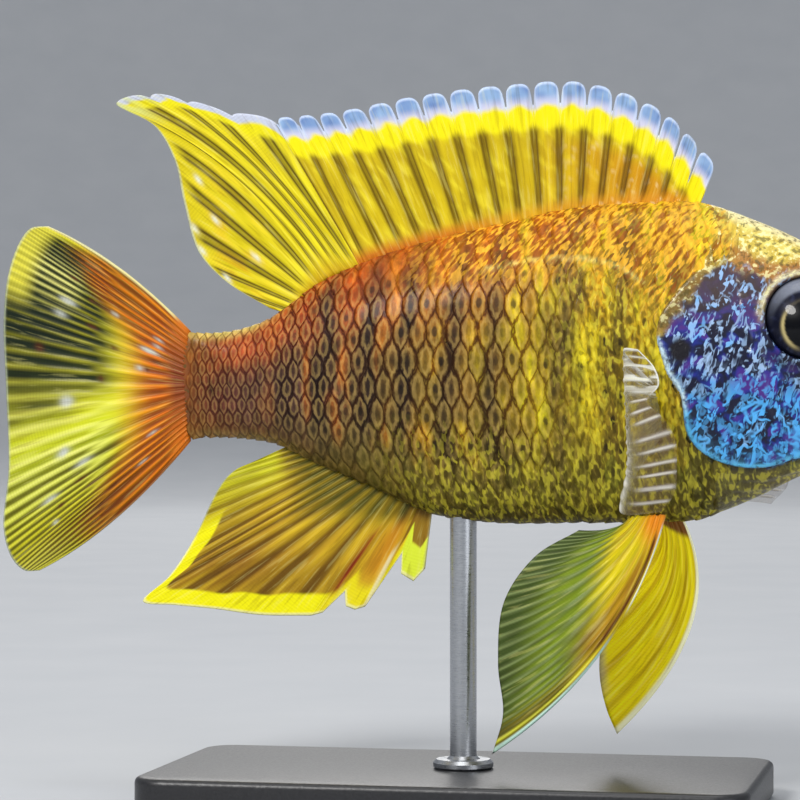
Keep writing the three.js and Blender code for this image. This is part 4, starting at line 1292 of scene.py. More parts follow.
@dataclass
class Eye:
    """Domed eye set in its socket, looking a little forwards and up."""

    side: Side
    body: BodyForm
    radius: float = 6.5
    depth: float = 3.8
    pupil: float = 3.4
    droop: float = 1.4
    dome: float = 0.3
    segments: int = 128
    rings: int = 72

    def build(self) -> Piece:
        """Shape, paint and place the eye."""
        form = bmesh.new()
        bmesh.ops.create_uvsphere(form, u_segments=self.segments, v_segments=self.rings, radius=1)
        mesh = keep_form(form, f"eyeball_{self.side.word}")
        ball = read_points(mesh)
        axis = Vector((EYE_AXIS[0], self.side.value, EYE_AXIS[2])).normalized()
        ahead = (Vector((1, 0, 0)) - axis * axis.x).normalized()
        up = axis.cross(ahead) * (1 if axis.cross(ahead).z > 0 else -1)
        centre = np.array([EYE_PLACE[0], self.side.value * eye_out(self.body), EYE_PLACE[1]])
        across = np.hypot(ball[:, 0], ball[:, 1] + self.droop / self.radius)
        bulge = self.dome * soft(self.radius * across, self.pupil + 1.6, 0) * (ball[:, 2] > 0)
        points = centre + np.outer(self.depth * ball[:, 2] + bulge, axis)
        points = points + self.radius * (np.outer(ball[:, 0], ahead) + np.outer(ball[:, 1], up))
        write_points(mesh, points)
        write_mark(mesh, "tint", self._paint(ball))
        close_form(mesh)
        return finish_piece(mesh, EyeFinish().make(), (f"eye_{self.side.word}",))

    def _paint(self, ball: Array) -> Array:
        """Black pupil set a little low, a pale gold ring behind it, a dark mottled iris and a painted
        reflection at its top.
        """
        low = self.radius * ball[:, 1] + self.droop
        away = np.hypot(self.radius * ball[:, 0], low)
        angle = np.arctan2(low, ball[:, 0] * self.radius)
        fibre = Mottle(21).at(angle * 14 + 50, away * 1.2)
        paint = Paint(away.shape, 9, 12, 32)
        paint.lay(56, 62, 96, 0.5 * soft(fibre, 0.5, 0.95) * soft(away, 3.6, 4.6))
        # Painted reflection: a pale grey band at the top of the iris.
        paint.lay(150, 156, 170, 0.7 * hump(angle, 2.0, 0.6) * soft(away, 4.8, 5.4))
        rear = 0.1 + 0.9 * soft(np.cos(angle - 0.3), -0.5, -0.97)
        ring = hump(away, self.pupil + 0.26, 0.26)
        paint.lay(206, 188, 128, ring * rear)
        rim = np.hypot(ball[:, 0], ball[:, 1]) * self.radius
        paint.lay(8, 9, 18, soft(rim, 5.5, 6.0))
        paint.lay(3, 4, 7, soft(away, self.pupil + 0.12, self.pupil - 0.08))
        return paint.colours


# Fins


@dataclass
class FinGrid:
    """Points of a fin's mid surface, by column along the fin and row from root to edge.

    Attributes:
        points: Places, in the last axis.
        ray: Count of rays passed, with a ray at each whole number.
        share: Share from the root, 0, to the edge, 1.
        below: Distance in from the fin's outline.
        ridge: Height of the rays, 0 to 1.
    """

    points: Array
    ray: Array
    share: Array
    below: Array
    ridge: Array


def branching(ray: Array, share: Array, splits: Sequence[float], sharp: float) -> Array:
    """Height of rays that fork towards the fin's edge.

    Args:
        ray: Count of rays passed.
        share: Share from the root to the edge.
        splits: Shares where the rays fork, each into two.
        sharp: How narrow a ray is.

    Returns:
        Height from 0 between the rays to 1 on a ray.
    """

    def crest(place: Array) -> Array:
        return (0.5 + 0.5 * np.cos(2 * np.pi * place)) ** sharp

    height = crest(ray)
    for step, split in enumerate(splits, start=1):
        forked = soft(share, split - 0.08, split + 0.08)
        height = height * (1 - forked) + crest(ray * 2**step + 0.5) * forked
    return height


def rows_from_edge(length: Array, rows: int, near: float) -> tuple[Array, Array]:
    """Rows set close together near a fin's edge.

    Args:
        length: Length of each column.
        rows: How many rows.
        near: How deep the close rows reach.

    Returns:
        The share from the root of each column's rows, and their distance from the edge.
    """
    close = np.minimum(near, 0.6 * length)[:, None]
    share = np.linspace(0, 1, rows)[None]
    crowd = 0.35
    fine = close * (1 - share) / (1 - crowd)
    coarse = close + (length[:, None] - close) * (crowd - share) / crowd
    distance = np.where(share > crowd, fine, coarse)
    return 1 - distance / length[:, None], distance


@dataclass
class Fin:
    """A thin closed fin with raised rays, built from its grid."""

    name: str
    nodes: tuple[str, ...]
    slot: str
    web: float = 0.13
    raised: float = 0.2
    root: float = 0.5
    margin: float = 0.4
    flat: bool = True
    base_width: float = 0.0
    spread: float = 0.0
    rays: int = 0
    per_ray: int = 12
    joints: tuple[float, float, float] = (0.12, 0.35, 0.7)
    clear: bool = False
    # Glow of painted light, as emission, for a fin that lies in shade.
    glow: float = 0.0

    def grid(self) -> FinGrid:
        """The fin's mid surface."""
        raise NotImplementedError

    def shares(self) -> Array:
        """Shares of the rayed part's columns along the fin."""
        return np.linspace(0, 1, self.rays * self.per_ray + 1)

    def from_sides(self, share: Array, rows: Array) -> Array:
        """Distance in from the nearer side of a fan."""
        return np.minimum(share, 1 - share)[:, None] * (self.base_width + self.spread * rows)

    def paint(self, grid: FinGrid) -> Array:
        """Colours of the fin's points."""
        raise NotImplementedError

    def beads(self, grid: FinGrid) -> Array:
        """How clearly the joints of the rays show."""
        most, low, high = self.joints
        return most * soft(grid.share, low, high)

    def solid(self, grid: FinGrid) -> Array | None:
        """How opaque the fin is, if it is clear."""
        return None

    def build(self) -> Piece:
        """Shape, paint and place the fin."""
        grid = self.grid()
        half = self.web + self.raised * grid.ridge * soft(grid.share, 1.02, 0.7)
        half = half + (self.root - self.web) * soft(grid.share, 0.22, 0.0)
        half = half * np.sqrt(np.clip(grid.below / self.margin, 0, 1))
        half[0] = half[-1] = 0
        half[:, 0] = half[:, -1] = 0
        out = self._normals(grid.points)
        columns = len(grid.points)
        mesh, column, row = lattice(self.name, 2 * (columns - 1), grid.points.shape[1] - 1)
        front = column < columns
        source = np.where(front, column, 2 * (columns - 1) - column)
        sign = np.where(front, 1.0, -1.0)[:, None]
        offset = out[source, row] * half[source, row][:, None]
        write_points(mesh, grid.points[source, row] + offset * sign)
        write_mark(mesh, "tint", np.clip(self.paint(grid), 0, 1)[source, row])
        write_mark(mesh, "bead", self.beads(grid)[source, row])
        solid = self.solid(grid)
        if solid is not None:
            write_mark(mesh, "solid", solid[source, row])
        run = np.linalg.norm(np.diff(grid.points, axis=1), axis=-1)
        along = np.concatenate([np.zeros((columns, 1)), np.cumsum(run, axis=1)], axis=1)
        write_map(mesh, "fin", joined(grid.ray, along)[source, row])
        close_form(mesh)
        finish = FinFinish(f"{self.name}_skin", self.clear, glow=self.glow)
        return finish_piece(mesh, finish.make(), self.nodes)

    def _normals(self, points: Array) -> Array:
        """Directions out of the fin's first face."""
        if self.flat:
            return np.broadcast_to([0.0, -1.0, 0.0], points.shape)
        return unit(np.cross(np.gradient(points, axis=0), np.gradient(points, axis=1)))


def straight_columns(root: Array, edge: Array, bow: Array, share: Array) -> Array:
    """Columns from roots to edges, bent by a bow that is widest half way."""
    bend = 4 * share * (1 - share)
    return between(root[:, None], edge[:, None], share[..., None]) + bow[:, None] * bend[..., None]


class DorsalFin(Fin):
    """Long back fin: eighteen spines with rounded flags, then a soft part drawn to a point."""

    flags = 18
    flag_width = 0.9
    spine_roots = ((0, 35.4), (17, -14.0), (18, -14.9))
    end = -26.4
    sunk = 1.3
    notch = 3.3
    rows = 58
    close_rows = 7.5
    crest = Line([
        (38.2, 95), (30.4, 102.9), (19, 107.4), (6.2, 107.3), (-6.7, 106), (-19, 103.9), (-29, 103.1),
    ])
    soft_edge = Line([
        (-29, 103.3), (-36, 104.4), (-43, 106.4), (-49, 107.3), (-53.7, 105.9), (-47.6, 102.3),
        (-44.4, 97), (-42.9, 90.5), (-40.6, 83), (-36.5, 78.6), (-29.6, 74.4),
    ])
    bend_most = 3.4
    bend_at = 0.4
    bend_after = 0.28
    white_dashes = ((-37.9, 87.8), (-31.5, 82.1), (-40.6, 94), (-41.2, 86.6), (-40, 83.2), (-36, 78.9))

    def __init__(self, body: BodyForm) -> None:
        """Name the fin and keep the body."""
        super().__init__(
            "dorsal_membrane", ("dorsal_fin",), "fin_yellow", rays=10, per_ray=13,
            joints=(0.2, 0.5, 0.9),
        )
        self.body = body

    def _root(self, x: Array) -> Array:
        """Roots under the back at places along it."""
        return joined(x, 0.0, self.body.measure("back", x) - self.sunk)

    def grid(self) -> FinGrid:
        """Columns of the spines' flags, then those of the soft rays."""
        steps = np.array([0, 0.03, 0.07, 0.12, 0.2, 0.3, 0.42, 0.54, 0.64, 0.73, 0.81, 0.86,
                          0.9, 0.925, 0.95, 0.975])
        place = (np.arange(self.flags)[:, None] + steps[None]).ravel()
        root = self._root(height_on(self.spine_roots, place))
        tip = in_plane(self.crest.at(place / self.flags))
        edge = between(tip, root, (self._drop(place) / lengths(root, tip))[:, None])
        share = self.shares()
        soft_root = self._root(between(self.spine_roots[-1][1], self.end, share))
        soft_tip = in_plane(self.soft_edge.at(share))
        reach = np.where(share < self.bend_at, self.bend_at, self.bend_after)
        bend = self.bend_most * np.cos(np.pi / 2 * np.minimum(np.abs(share - self.bend_at) / reach, 1)) ** 2
        dip = self._lobes(share) / lengths(soft_root, soft_tip)
        soft_tip = between(soft_tip, soft_root, dip[:, None])
        root = np.concatenate([root, soft_root])
        edge = np.concatenate([edge, soft_tip])
        bow = np.concatenate([np.zeros((len(place), 3)), joined(0.4 * bend, 0.0, bend)])
        rows, below = rows_from_edge(lengths(root, edge), self.rows, self.close_rows)
        ray = np.concatenate([place, self.flags + share * self.rays])
        ray = np.broadcast_to(ray[:, None], rows.shape)
        points = straight_columns(root, edge, bow, rows)
        stiff = branching(ray, rows, (), 8)
        ridge = np.where(ray < self.flags, stiff, branching(ray, rows, (0.5,), 2.5))
        return FinGrid(points, ray, rows, below, ridge)

    def _drop(self, place: Array) -> Array:
        """How far the flags' edge lies under the crest: round tabs with a notch between."""
        part = place % 1
        depth = self.notch * (1 - 0.35 * np.abs(place / self.flags - 0.45))
        depth = depth * (1 + 0.9 * soft(place, 4, 0)) * (1 - 0.6 * soft(place, 16.9, 17))
        across = np.minimum(np.abs(2 * part / self.flag_width - 1), 1)
        tab = 1.8 * (1 - np.sqrt(np.clip(1 - across**3, 0, 1)))
        return np.where(part < self.flag_width + 0.005, tab, depth)

    def _lobes(self, share: Array) -> Array:
        """How far the soft part's first webs dip between its rays."""
        part = (share * self.rays) % 1
        return np.abs(2 * part - 1) ** 3 * soft(share, 0.42, 0.3)

    def paint(self, grid: FinGrid) -> Array:
        """Blue-white flags, a bright yellow band, gold webs between brown spines."""
        place = grid.ray
        part = place % 1
        from_spine = np.minimum(part, 1 - part)
        below = grid.below + self._drop(place)
        x, _, z = np.moveaxis(grid.points, -1, 0)
        cloud = Mottle(31).at(x * 0.9, z * 0.9)
        fine = Mottle(32).at(place * 6, z * 0.3)
        slant = Mottle(34).at((x + z) * 1.1, (z - x) * 0.3)
        paint = Paint(x.shape, 226, 200, 20)
        paint.lay(172, 142, 10, fine * 0.6)
        paint.lay(250, 232, 50, 0.5 * soft(slant, 0.55, 0.85))
        over_back = z - grid.points[:, :1, 2]
        paint.lay(214, 130, 20, soft(over_back, 3.6, 1.6) * 0.5)
        paint.lay(196, 84, 20, soft(over_back, 3.0, 1.4) * soft(x, 10, -4) * 0.7)
        paint.lay(210, 134, 18, soft(x, 6, 30) * soft(below, 7, 10) * 0.75)
        cream = soft(Mottle(35).at(x * 1.7, z * 1.7), 0.72, 0.9) * soft(x, 8, 26)
        paint.lay(240, 214, 150, 0.6 * cream * soft(below, 7, 9))
        spine = np.maximum(hump(from_spine, 0.09, 0.07), 0.8 * hump(from_spine, 0, 0.2))
        spine = spine * soft(below, 5.6, 7.4)
        paint.lay(84, 58, 4, 0.9 * spine * soft(over_back, 1.2, 3.5))
        lobe = 0.8 * hump(part, 0.45, 0.28)
        band = soft(below, 7.2 + lobe, 5.9 + lobe)
        paint.lay(246, 232, 8, band * (1 - 0.4 * spine))
        white = soft(below, 4.1 - lobe + 0.7 * cloud, 3.3 - lobe + 0.5 * cloud)
        paint.lay(210, 208, 230, white)
        flag = soft(below, 3.4, 1.6)
        blue = lay(tone(92, 130, 188), tone(146, 182, 220), cloud)
        paint.cover(blue, flag * 0.92)
        side_gap = np.minimum(part, np.abs(self.flag_width - part))
        outline = np.maximum(soft(grid.below, 0.6, 0.2), soft(side_gap, 0.12, 0.03) * soft(below, 4.5, 3))
        paint.lay(206, 220, 244, 0.7 * outline)
        return np.where((place < self.flags)[..., None], paint.colours, self._paint_soft(grid))

    def _paint_soft(self, grid: FinGrid) -> Array:
        """Yellow webs between fine double brown lines, a pale upper margin and white dashes."""
        x, _, z = np.moveaxis(grid.points, -1, 0)
        along = (grid.ray - self.flags) / self.rays
        away = np.abs((grid.ray % 1) - 0.5)
        fine = Mottle(33).at(grid.ray * 5, grid.share * 7)
        paint = Paint(x.shape, 214, 194, 14)
        paint.lay(242, 226, 36, fine)
        warm = hump(along, 0.75, 0.22) * hump(grid.share, 0.6, 0.25) * soft(fine, 0.3, 0.8)
        paint.lay(226, 166, 22, 0.6 * warm)
        lines = hump(away, 0.13, 0.06) + 0.6 * hump(away, 0.0, 0.12)
        fade = span(grid.share, 0.03, 0.14, 0.86, 1.0)
        paint.lay(78, 60, 6, 0.88 * lines * fade)
        paint.lay(206, 150, 26, soft(grid.share, 0.12, 0.0) * 0.7)
        top = soft(along, 0.5, 0.36)
        paint.lay(242, 230, 14, soft(grid.below, 5.2, 3.6) * top * 0.9)
        margin = soft(grid.below + 1.2 * fine, 3.4 - 2.2 * along, 2.5 - 2.2 * along)
        paint.lay(196, 204, 232, margin * top * 0.92)
        tip = soft(x, -45, -50) * soft(fine, 0.3, 0.7)
        paint.lay(206, 214, 130, 0.7 * tip)
        rear = soft(grid.below, 0.8, 0.25) * (1 - top)
        paint.lay(196, 204, 176, rear * 0.85)
        for px, pz in self.white_dashes:
            lean = (x - px) * 0.66 + (z - pz) * -0.75
            dash = hump(lean, 0, 0.85) * hump((x - px) * 0.75 + (z - pz) * 0.66, 0, 0.32)
            paint.lay(236, 240, 222, 0.95 * dash)
        return paint.colours

    def beads(self, grid: FinGrid) -> Array:
        """Joints show on the soft rays only."""
        return super().beads(grid) * soft(grid.ray, self.flags, self.flags + 1)


class AnalFin(Fin):
    """Fin under the tail: three spines with tabs, then a soft part drawn to a point."""

    soft_from = -9.8
    end = -25.6
    sunk = 1.3
    per_step = 5
    rows = 60
    close_rows = 6.0
    tabs = (
        (-4.2, -5.4, 35.2), (-4.7, -7.2, 33.3), (-5.2, -9.1, 34.4), (-5.7, -9.0, 37.4),
        (-6.2, -14.6, 29.4), (-6.8, -16.2, 28.9), (-7.3, -17.6, 29.4), (-7.8, -17.8, 31.6),
        (-8.4, -21.2, 28.4), (-9.1, -22.2, 28.1),
    )
    tab_spines = ((0, 0), (4, 1), (8, 2), (9, 2.5))
    edge = Line([
        (-23, 27.9), (-31, 27.9), (-38, 28.7), (-44.4, 29.2), (-49.4, 29.7), (-45.4, 33.4), (-43, 36.6),
        (-40.7, 40.5), (-39.2, 43.7), (-37.6, 46.8), (-36.2, 48.7), (-34.6, 50), (-32.4, 50.9),
    ])

    def __init__(self, body: BodyForm) -> None:
        """Name the fin and keep the body."""
        super().__init__(
            "anal_membrane", ("anal_fin",), "fin_yellow", rays=13, per_ray=11, joints=(0.15, 0.5, 0.9)
        )
        self.body = body

    def grid(self) -> FinGrid:
        """Columns of the tabs, then those of the soft rays."""
        tabs = np.array(self.tabs)
        count = len(tabs)
        fine = np.linspace(0, count - 1, (count - 1) * self.per_step, endpoint=False)
        tab = np.stack([np.interp(fine, np.arange(count), tabs[:, k]) for k in range(3)], -1)
        share = self.shares()
        root_x = np.concatenate([tab[:, 0], between(self.soft_from, self.end, share)])
        root = joined(root_x, 0.0, self.body.measure("belly", root_x) + self.sunk)
        edge = in_plane(np.concatenate([tab[:, 1:], self.edge.at(share)]))
        rows, below = rows_from_edge(lengths(root, edge), self.rows, self.close_rows)
        spine = height_on(self.tab_spines, fine)
        ray = np.concatenate([spine, 3 + share * self.rays])
        ray = np.broadcast_to(ray[:, None], rows.shape)
        points = straight_columns(root, edge, np.zeros_like(root), rows)
        ridge = np.where(ray < 3, branching(ray, rows, (), 8), branching(ray, rows, (), 1.5))
        return FinGrid(points, ray, rows, below, ridge)

    def paint(self, grid: FinGrid) -> Array:
        """Gold rays and brown gaps over a bright yellow lower band with a cream edge."""
        x, _, z = np.moveaxis(grid.points, -1, 0)
        ray = grid.ray
        share = grid.share
        fine = Mottle(41).at(ray * 5, share * 5)
        cloud = Mottle(42).at(x * 0.3, z * 0.3)
        back = (ray - 3) / self.rays
        paint = Paint(x.shape, 232, 196, 40)
        paint.lay(196, 154, 26, fine)
        rear = soft(back, 0.45, 0.85) * soft(share, 0.2, 0.45)
        paint.lay(214, 216, 34, rear * 0.9)
        brown = hump(back, 0.28, 0.22) * hump(share, 0.66, 0.22)
        paint.lay(150, 96, 30, 0.7 * brown * (0.5 + 0.7 * cloud))
        gap = hump(np.abs(ray % 1 - 0.5), 0, 0.24) * (ray >= 3) * soft(share, 0.16, 0.3)
        gap = gap + 0.5 * hump(np.abs((2 * ray) % 1 - 0.5), 0.5, 0.3) * (ray >= 3) * soft(share, 0.5, 0.7)
        paint.lay(92, 58, 8, np.clip(gap, 0, 1) * (0.9 - 0.45 * rear))
        streak = hump(ray, 2.25, 0.34) * soft(share, 0.2, 0.4)
        paint.lay(128, 40, 8, 0.9 * streak * (0.6 + 0.6 * fine))
        paint.lay(196, 110, 20, 0.6 * hump(ray, 1.3, 0.4) * soft(share, 0.85, 0.6))
        shade = soft(share, 0.42, 0.16) * (0.65 + 0.35 * (0.5 - 0.5 * np.cos(2 * np.pi * ray)))
        paint.lay(58, 62, 16, 0.95 * shade * soft(share - 0.25 * back, 0.4, 0.15))
        band = soft(grid.below + 1.4 * (cloud - 0.5), 4.6, 3.8) * (ray >= 2.6) * soft(back, 0.66, 0.56)
        paint.lay(246, 238, 8, band)
        paint.lay(240, 226, 20, soft(grid.below, 5, 2.5) * (ray < 2.6) * 0.9)
        paint.lay(120, 84, 22, (ray < 0.9) * soft(grid.below, 4.6, 5.4) * 0.8)
        first = (ray < 0.8) * soft(grid.below, 5.4, 4.8)
        paint.lay(222, 236, 56, first)
        cream = soft(grid.below, 0.75, 0.3) * soft(back, 0.6, 0.5)
        paint.lay(246, 244, 170, 0.85 * cream)
        front = soft(ray, 0.06, 0.02) + soft(np.abs(ray - 1), 0.1, 0.03) * soft(share, 0.4, 0.55)
        paint.lay(240, 232, 180, 0.8 * front)
        thin = soft(grid.below, 0.45, 0.1) * soft(back, 0.5, 0.65)
        paint.lay(180, 192, 160, 0.8 * thin)
        return paint.colours


class CaudalFin(Fin):
    """Tail fin: a fan of forked rays, a little hollow at its rear edge."""

    root_x = -41.8
    top = 70.9
    bottom = 54.2
    wave = 1.1
    rows = 90
    close_rows = 12.0
    edge = Line([
        (-64.6, 87.2), (-67.4, 86.9), (-69.2, 84.8), (-71, 80), (-71.8, 73), (-71.4, 62), (-71, 50),
        (-71.8, 40.5), (-70.4, 36), (-68.4, 34.2), (-66, 34.2),
    ])

    def __init__(self) -> None:
        """Name the fin."""
        super().__init__(
            "caudal_membrane", ("caudal_fin",), "fin_yellow", flat=False, base_width=17, spread=36,
            rays=22, joints=(0.2, 0.45, 0.7),
        )

    def grid(self) -> FinGrid:
        """Columns fanned from the tail's base."""
        share = self.shares()
        root = joined(self.root_x, 0.0, between(self.top, self.bottom, share))
        edge = in_plane(self.edge.at(share))
        round_out = 1.7 * soft(share, 0.14, 0) - 2.1 * soft(share, 0.86, 1)
        sway = joined(0.0, self.wave * np.sin(2 * np.pi * share), round_out)
        rows, below = rows_from_edge(lengths(root, edge), self.rows, self.close_rows)
        ray = np.broadcast_to((share * self.rays)[:, None], rows.shape)
        points = straight_columns(root, edge, sway, rows)
        ridge = branching(ray, rows, (0.5,), 2.0)
        below = np.minimum(below, self.from_sides(share, rows))
        return FinGrid(points, ray, rows, below, ridge)

    def paint(self, grid: FinGrid) -> Array:
        """Orange base, yellow-green fan with dark gaps, dark and white dashes, pale borders."""
        down = grid.ray / self.rays
        share = grid.share
        fine = Mottle(51).at(grid.ray * 5, share * 6)
        cloud = Mottle(52).at(grid.ray * 0.6, share * 5)
        gap = 1 - grid.ridge
        paint = Paint(down.shape, 196, 190, 20)
        paint.lay(236, 226, 50, fine)
        paint.lay(206, 222, 26, hump(down, 0.63, 0.1) * soft(share, 0.3, 0.5) * 0.8)
        paint.lay(214, 208, 84, soft(down, 0.78, 0.92) * soft(share, 0.6, 0.85) * 0.7)
        upper = span(down, 0.03, 0.07, 0.48, 0.54) * soft(share, 0.3, 0.55)
        paint.lay(30, 40, 10, np.clip(upper * (0.68 + 0.5 * gap) * (0.82 + 0.4 * cloud), 0, 1))
        lower = soft(down, 0.56, 0.66) * soft(share, 0.26, 0.4)
        paint.lay(82, 78, 8, lower * gap**1.6 * 0.95)
        reach = 0.28 + 0.42 * hump(down, 0.08, 0.16) + 0.3 * soft(down, 0.66, 0.95)
        orange = lay(tone(240, 150, 18), tone(222, 104, 12), fine)
        warm = soft(share, reach + 0.16, reach - 0.1)
        paint.cover(orange, warm * (1 - 0.55 * gap * soft(share, 0.2, 0.5)))
        paint.lay(112, 44, 6, 0.85 * gap * soft(share, 0.04, 0.16) * warm)
        low = hump(down, 0.9, 0.09) * hump(share, 0.56, 0.24)
        paint.lay(104, 52, 14, low * (0.3 + 0.6 * gap))
        night = hump(down, 0.13, 0.06) * hump(share, 0.76, 0.13) * 1.3
        night = night + (hump(down, 0.39, 0.075) + 0.7 * hump(down, 0.53, 0.03)) * soft(share, 0.5, 0.78)
        night = np.clip(night * (0.8 + 0.5 * fine), 0, 0.95)
        paint.lay(20, 32, 20, night * (0.45 + 0.55 * gap))
        bright = grid.ridge * soft(share, 0.58, 0.7) * hump(down, 0.235, 0.075)
        bright = bright + grid.ridge * 0.7 * hump(down, 0.62, 0.09) * soft(share, 0.35, 0.5)
        paint.lay(244, 240, 140, 0.95 * bright)
        self._dashes(paint, grid)
        corner = soft(down, 0.38, 0.3) * soft(share, 0.84, 0.94)
        paint.lay(236, 226, 70, (0.98 - 0.35 * gap) * corner)
        paint.lay(238, 224, 150, soft(down, 0.028, 0.01) * soft(share, 0.02, 0.15))
        paint.lay(150, 120, 90, soft(down, 0.98, 0.995) * soft(share, 0.8, 0.6) * 0.7)
        paint.lay(196, 190, 50, soft(down, 0.95, 0.985) * soft(share, 0.7, 0.85) * 0.8)
        paint.lay(220, 118, 22, soft(share, 0.12, 0.05))
        blush = soft(share + 0.05 * (cloud - 0.5), 0.17, 0.08) * hump(down, 0.45, 0.36)
        paint.lay(112, 44, 24, 0.9 * blush)
        paint.lay(190, 200, 170, soft(grid.below, 0.5, 0.15) * soft(share, 0.3, 0.8) * 0.6)
        return paint.colours

    def _dashes(self, paint: Paint, grid: FinGrid) -> None:
        """Short grey-white and dark brown dashes that lie along the rays in rough rows."""
        draw = np.random.default_rng(53)
        for index in range(34):
            ray = draw.integers(3, self.rays - 2) + 0.5
            share = draw.choice([0.22, 0.42, 0.56, 0.7]) + draw.normal(0, 0.03)
            long = draw.uniform(0.014, 0.04)
            dash = hump(grid.ray, ray, 0.2) * hump(grid.share, share, long)
            pale = index % 5 < 3
            colour = (196, 200, 190) if pale else (84, 40, 18)
            paint.lay(*colour, (0.85 if pale else 0.9) * dash)


def side_points(points: Sequence, side: Side) -> Array:
    """Points (x, outwards, z) as places on one side."""
    places = np.array(points, float)
    places[..., 1] *= side.value
    return places


@dataclass(frozen=True)
class PectoralShape:
    """Lines of a side fin: where it folds out and where it ends, as (x, outwards, z)."""

    fold: tuple
    edge: tuple


PECTORALS = {
    Side.RIGHT: PectoralShape(
        ((26.8, 17, 67.6), (27.2, 18.6, 62.6), (27.7, 20, 56.2), (27.7, 19, 50.6), (26.2, 16.6, 44.6)),
        ((29.4, 21.5, 67.6), (32, 23, 64.9), (32.7, 24, 62.5), (31, 23.6, 60.3), (33.3, 25, 58.1),
         (35.3, 26, 54.9), (35.4, 25.6, 51.3), (35, 24, 47.7), (32.6, 20.5, 44.7)),
    ),
    Side.LEFT: PectoralShape(
        ((30, 16, 65.4), (32.6, 18, 60.4), (35.6, 18.6, 55), (36.6, 17.4, 50), (35.6, 15, 46.6)),
        ((33, 22, 63.6), (39, 25.4, 58.6), (44.2, 26, 53), (46.8, 23.6, 48), (44.6, 18.6, 44.6)),
    ),
}


class PectoralFin(Fin):
    """Clear side fin, cupped towards the head, with pale rays."""

    rows = 80
    sunk = 1.3
    root_top = (30.4, 62.4)
    root_bottom = (31.9, 56.4)

    def __init__(self, side: Side, body: BodyForm) -> None:
        """Name the fin of one side."""
        super().__init__(
            f"pectoral_membrane_{side.word}", (f"pectoral_fin_{side.word}",), "fin_clear", web=0.08,
            raised=0.16, root=0.4, flat=False, base_width=4, spread=20, rays=14, clear=True,
        )
        self.side = side
        self.body = body

    def grid(self) -> FinGrid:
        """Columns from the flank out to the fold and on to the edge."""
        share = self.shares()
        shape = PECTORALS[self.side]
        x, z = (between(top, bottom, share) for top, bottom in zip(self.root_top, self.root_bottom))
        out = self.body.half_width(x, z) - self.sunk
        root = joined(x, self.side.value * out, z)
        fold = Line(side_points(shape.fold, self.side)).at(share)
        edge = Line(side_points(shape.edge, self.side)).at(share)
        rows = np.linspace(0, 1, self.rows)
        points = np.moveaxis(Line(np.stack([root, fold, edge])).at(rows), 0, 1)
        uneven = share * self.rays + 0.16 * np.sin(share * 17) + 0.06 * np.sin(share * 41)
        ray = np.broadcast_to(uneven[:, None], points.shape[:2])
        rows = np.broadcast_to(rows[None], ray.shape)
        length = lengths(fold, edge) + lengths(root, fold)
        below = (1 - rows) * length[:, None]
        ridge = branching(ray, rows, (), 5)
        below = np.minimum(below, self.from_sides(share, rows))
        return FinGrid(points, ray, rows, below, ridge)

    def paint(self, grid: FinGrid) -> Array:
        """Cream rays on greenish glass, with the leading edge and the fold brightest."""
        paint = Paint(grid.ray.shape, 156, 148, 112)
        paint.lay(122, 92, 66, soft(grid.share, 0.5, 0.75) * 0.8)
        fibre = Mottle(56).at(grid.ray * 4, grid.share * 5)
        bars = grid.ridge * soft(grid.share, 0.56, 0.76)
        paint.lay(226, 222, 214, bars)
        paint.lay(226, 226, 214, soft(fibre, 0.4, 0.65) * soft(grid.ray, 5, 3))
        paint.lay(240, 238, 232, hump(grid.share, 0.49, 0.07) * (0.5 + 0.5 * fibre))
        paint.lay(226, 226, 220, soft(grid.below, 0.6, 0.2) * soft(grid.ray, 6, 4))
        return paint.colours

    def solid(self, grid: FinGrid) -> Array:
        """Webs are almost clear, rays and margins are solid."""
        cloud = Mottle(55).at(grid.ray * 1.3, grid.share * 9)
        fibre = Mottle(56).at(grid.ray * 4, grid.share * 5)
        web = 0.16 + 0.3 * soft(grid.share, 0.3, 0.05) + 0.2 * soft(cloud, 0.4, 0.8)
        outer = span(grid.share, 0.62, 0.8, 0.94, 1.0) * soft(grid.ray, 3, 5)
        solid = web + (0.98 - web) * grid.ridge * outer * (0.6 + 0.5 * fibre)
        solid = np.maximum(solid, 0.9 * soft(fibre, 0.45, 0.7) * soft(grid.ray, 5, 3))
        fold = hump(grid.share, 0.49, 0.06 + 0.07 * fibre) * (0.5 + 0.7 * fibre)
        solid = np.maximum(solid, fold)
        margin = soft(grid.below, 0.5, 0.2) * (0.9 * soft(grid.ray, 5, 3) + 0.25 * cloud)
        return np.clip(np.maximum(solid, margin), 0, 1)


@dataclass(frozen=True)
class PelvicShape:
    """Lines of a belly fin: its root's two ends, its bow and its edge, as (x, outwards, z)."""

    front: tuple
    rear: tuple
    bow: tuple
    edge: tuple


PELVICS = {
    Side.RIGHT: PelvicShape(
        (31.4, 3.6, 43), (26.4, 3, 43), (3.6, 0.6, -2.4),
        ((6.5, 9.5, 8.8), (8, 9, 14.6), (7.2, 8.6, 22), (8, 8, 31), (12.4, 6.6, 37.6), (18.6, 5, 41.4)),
    ),
    Side.LEFT: PelvicShape(
        (32.2, 3.6, 43), (27.4, 3, 43), (6.8, 0.8, 0.4),
        ((22.4, 8, 10.2), (20.8, 8, 14), (19.8, 7.6, 19.4), (20.4, 7, 25), (23, 5.6, 32), (26, 4.6, 38)),
    ),
}


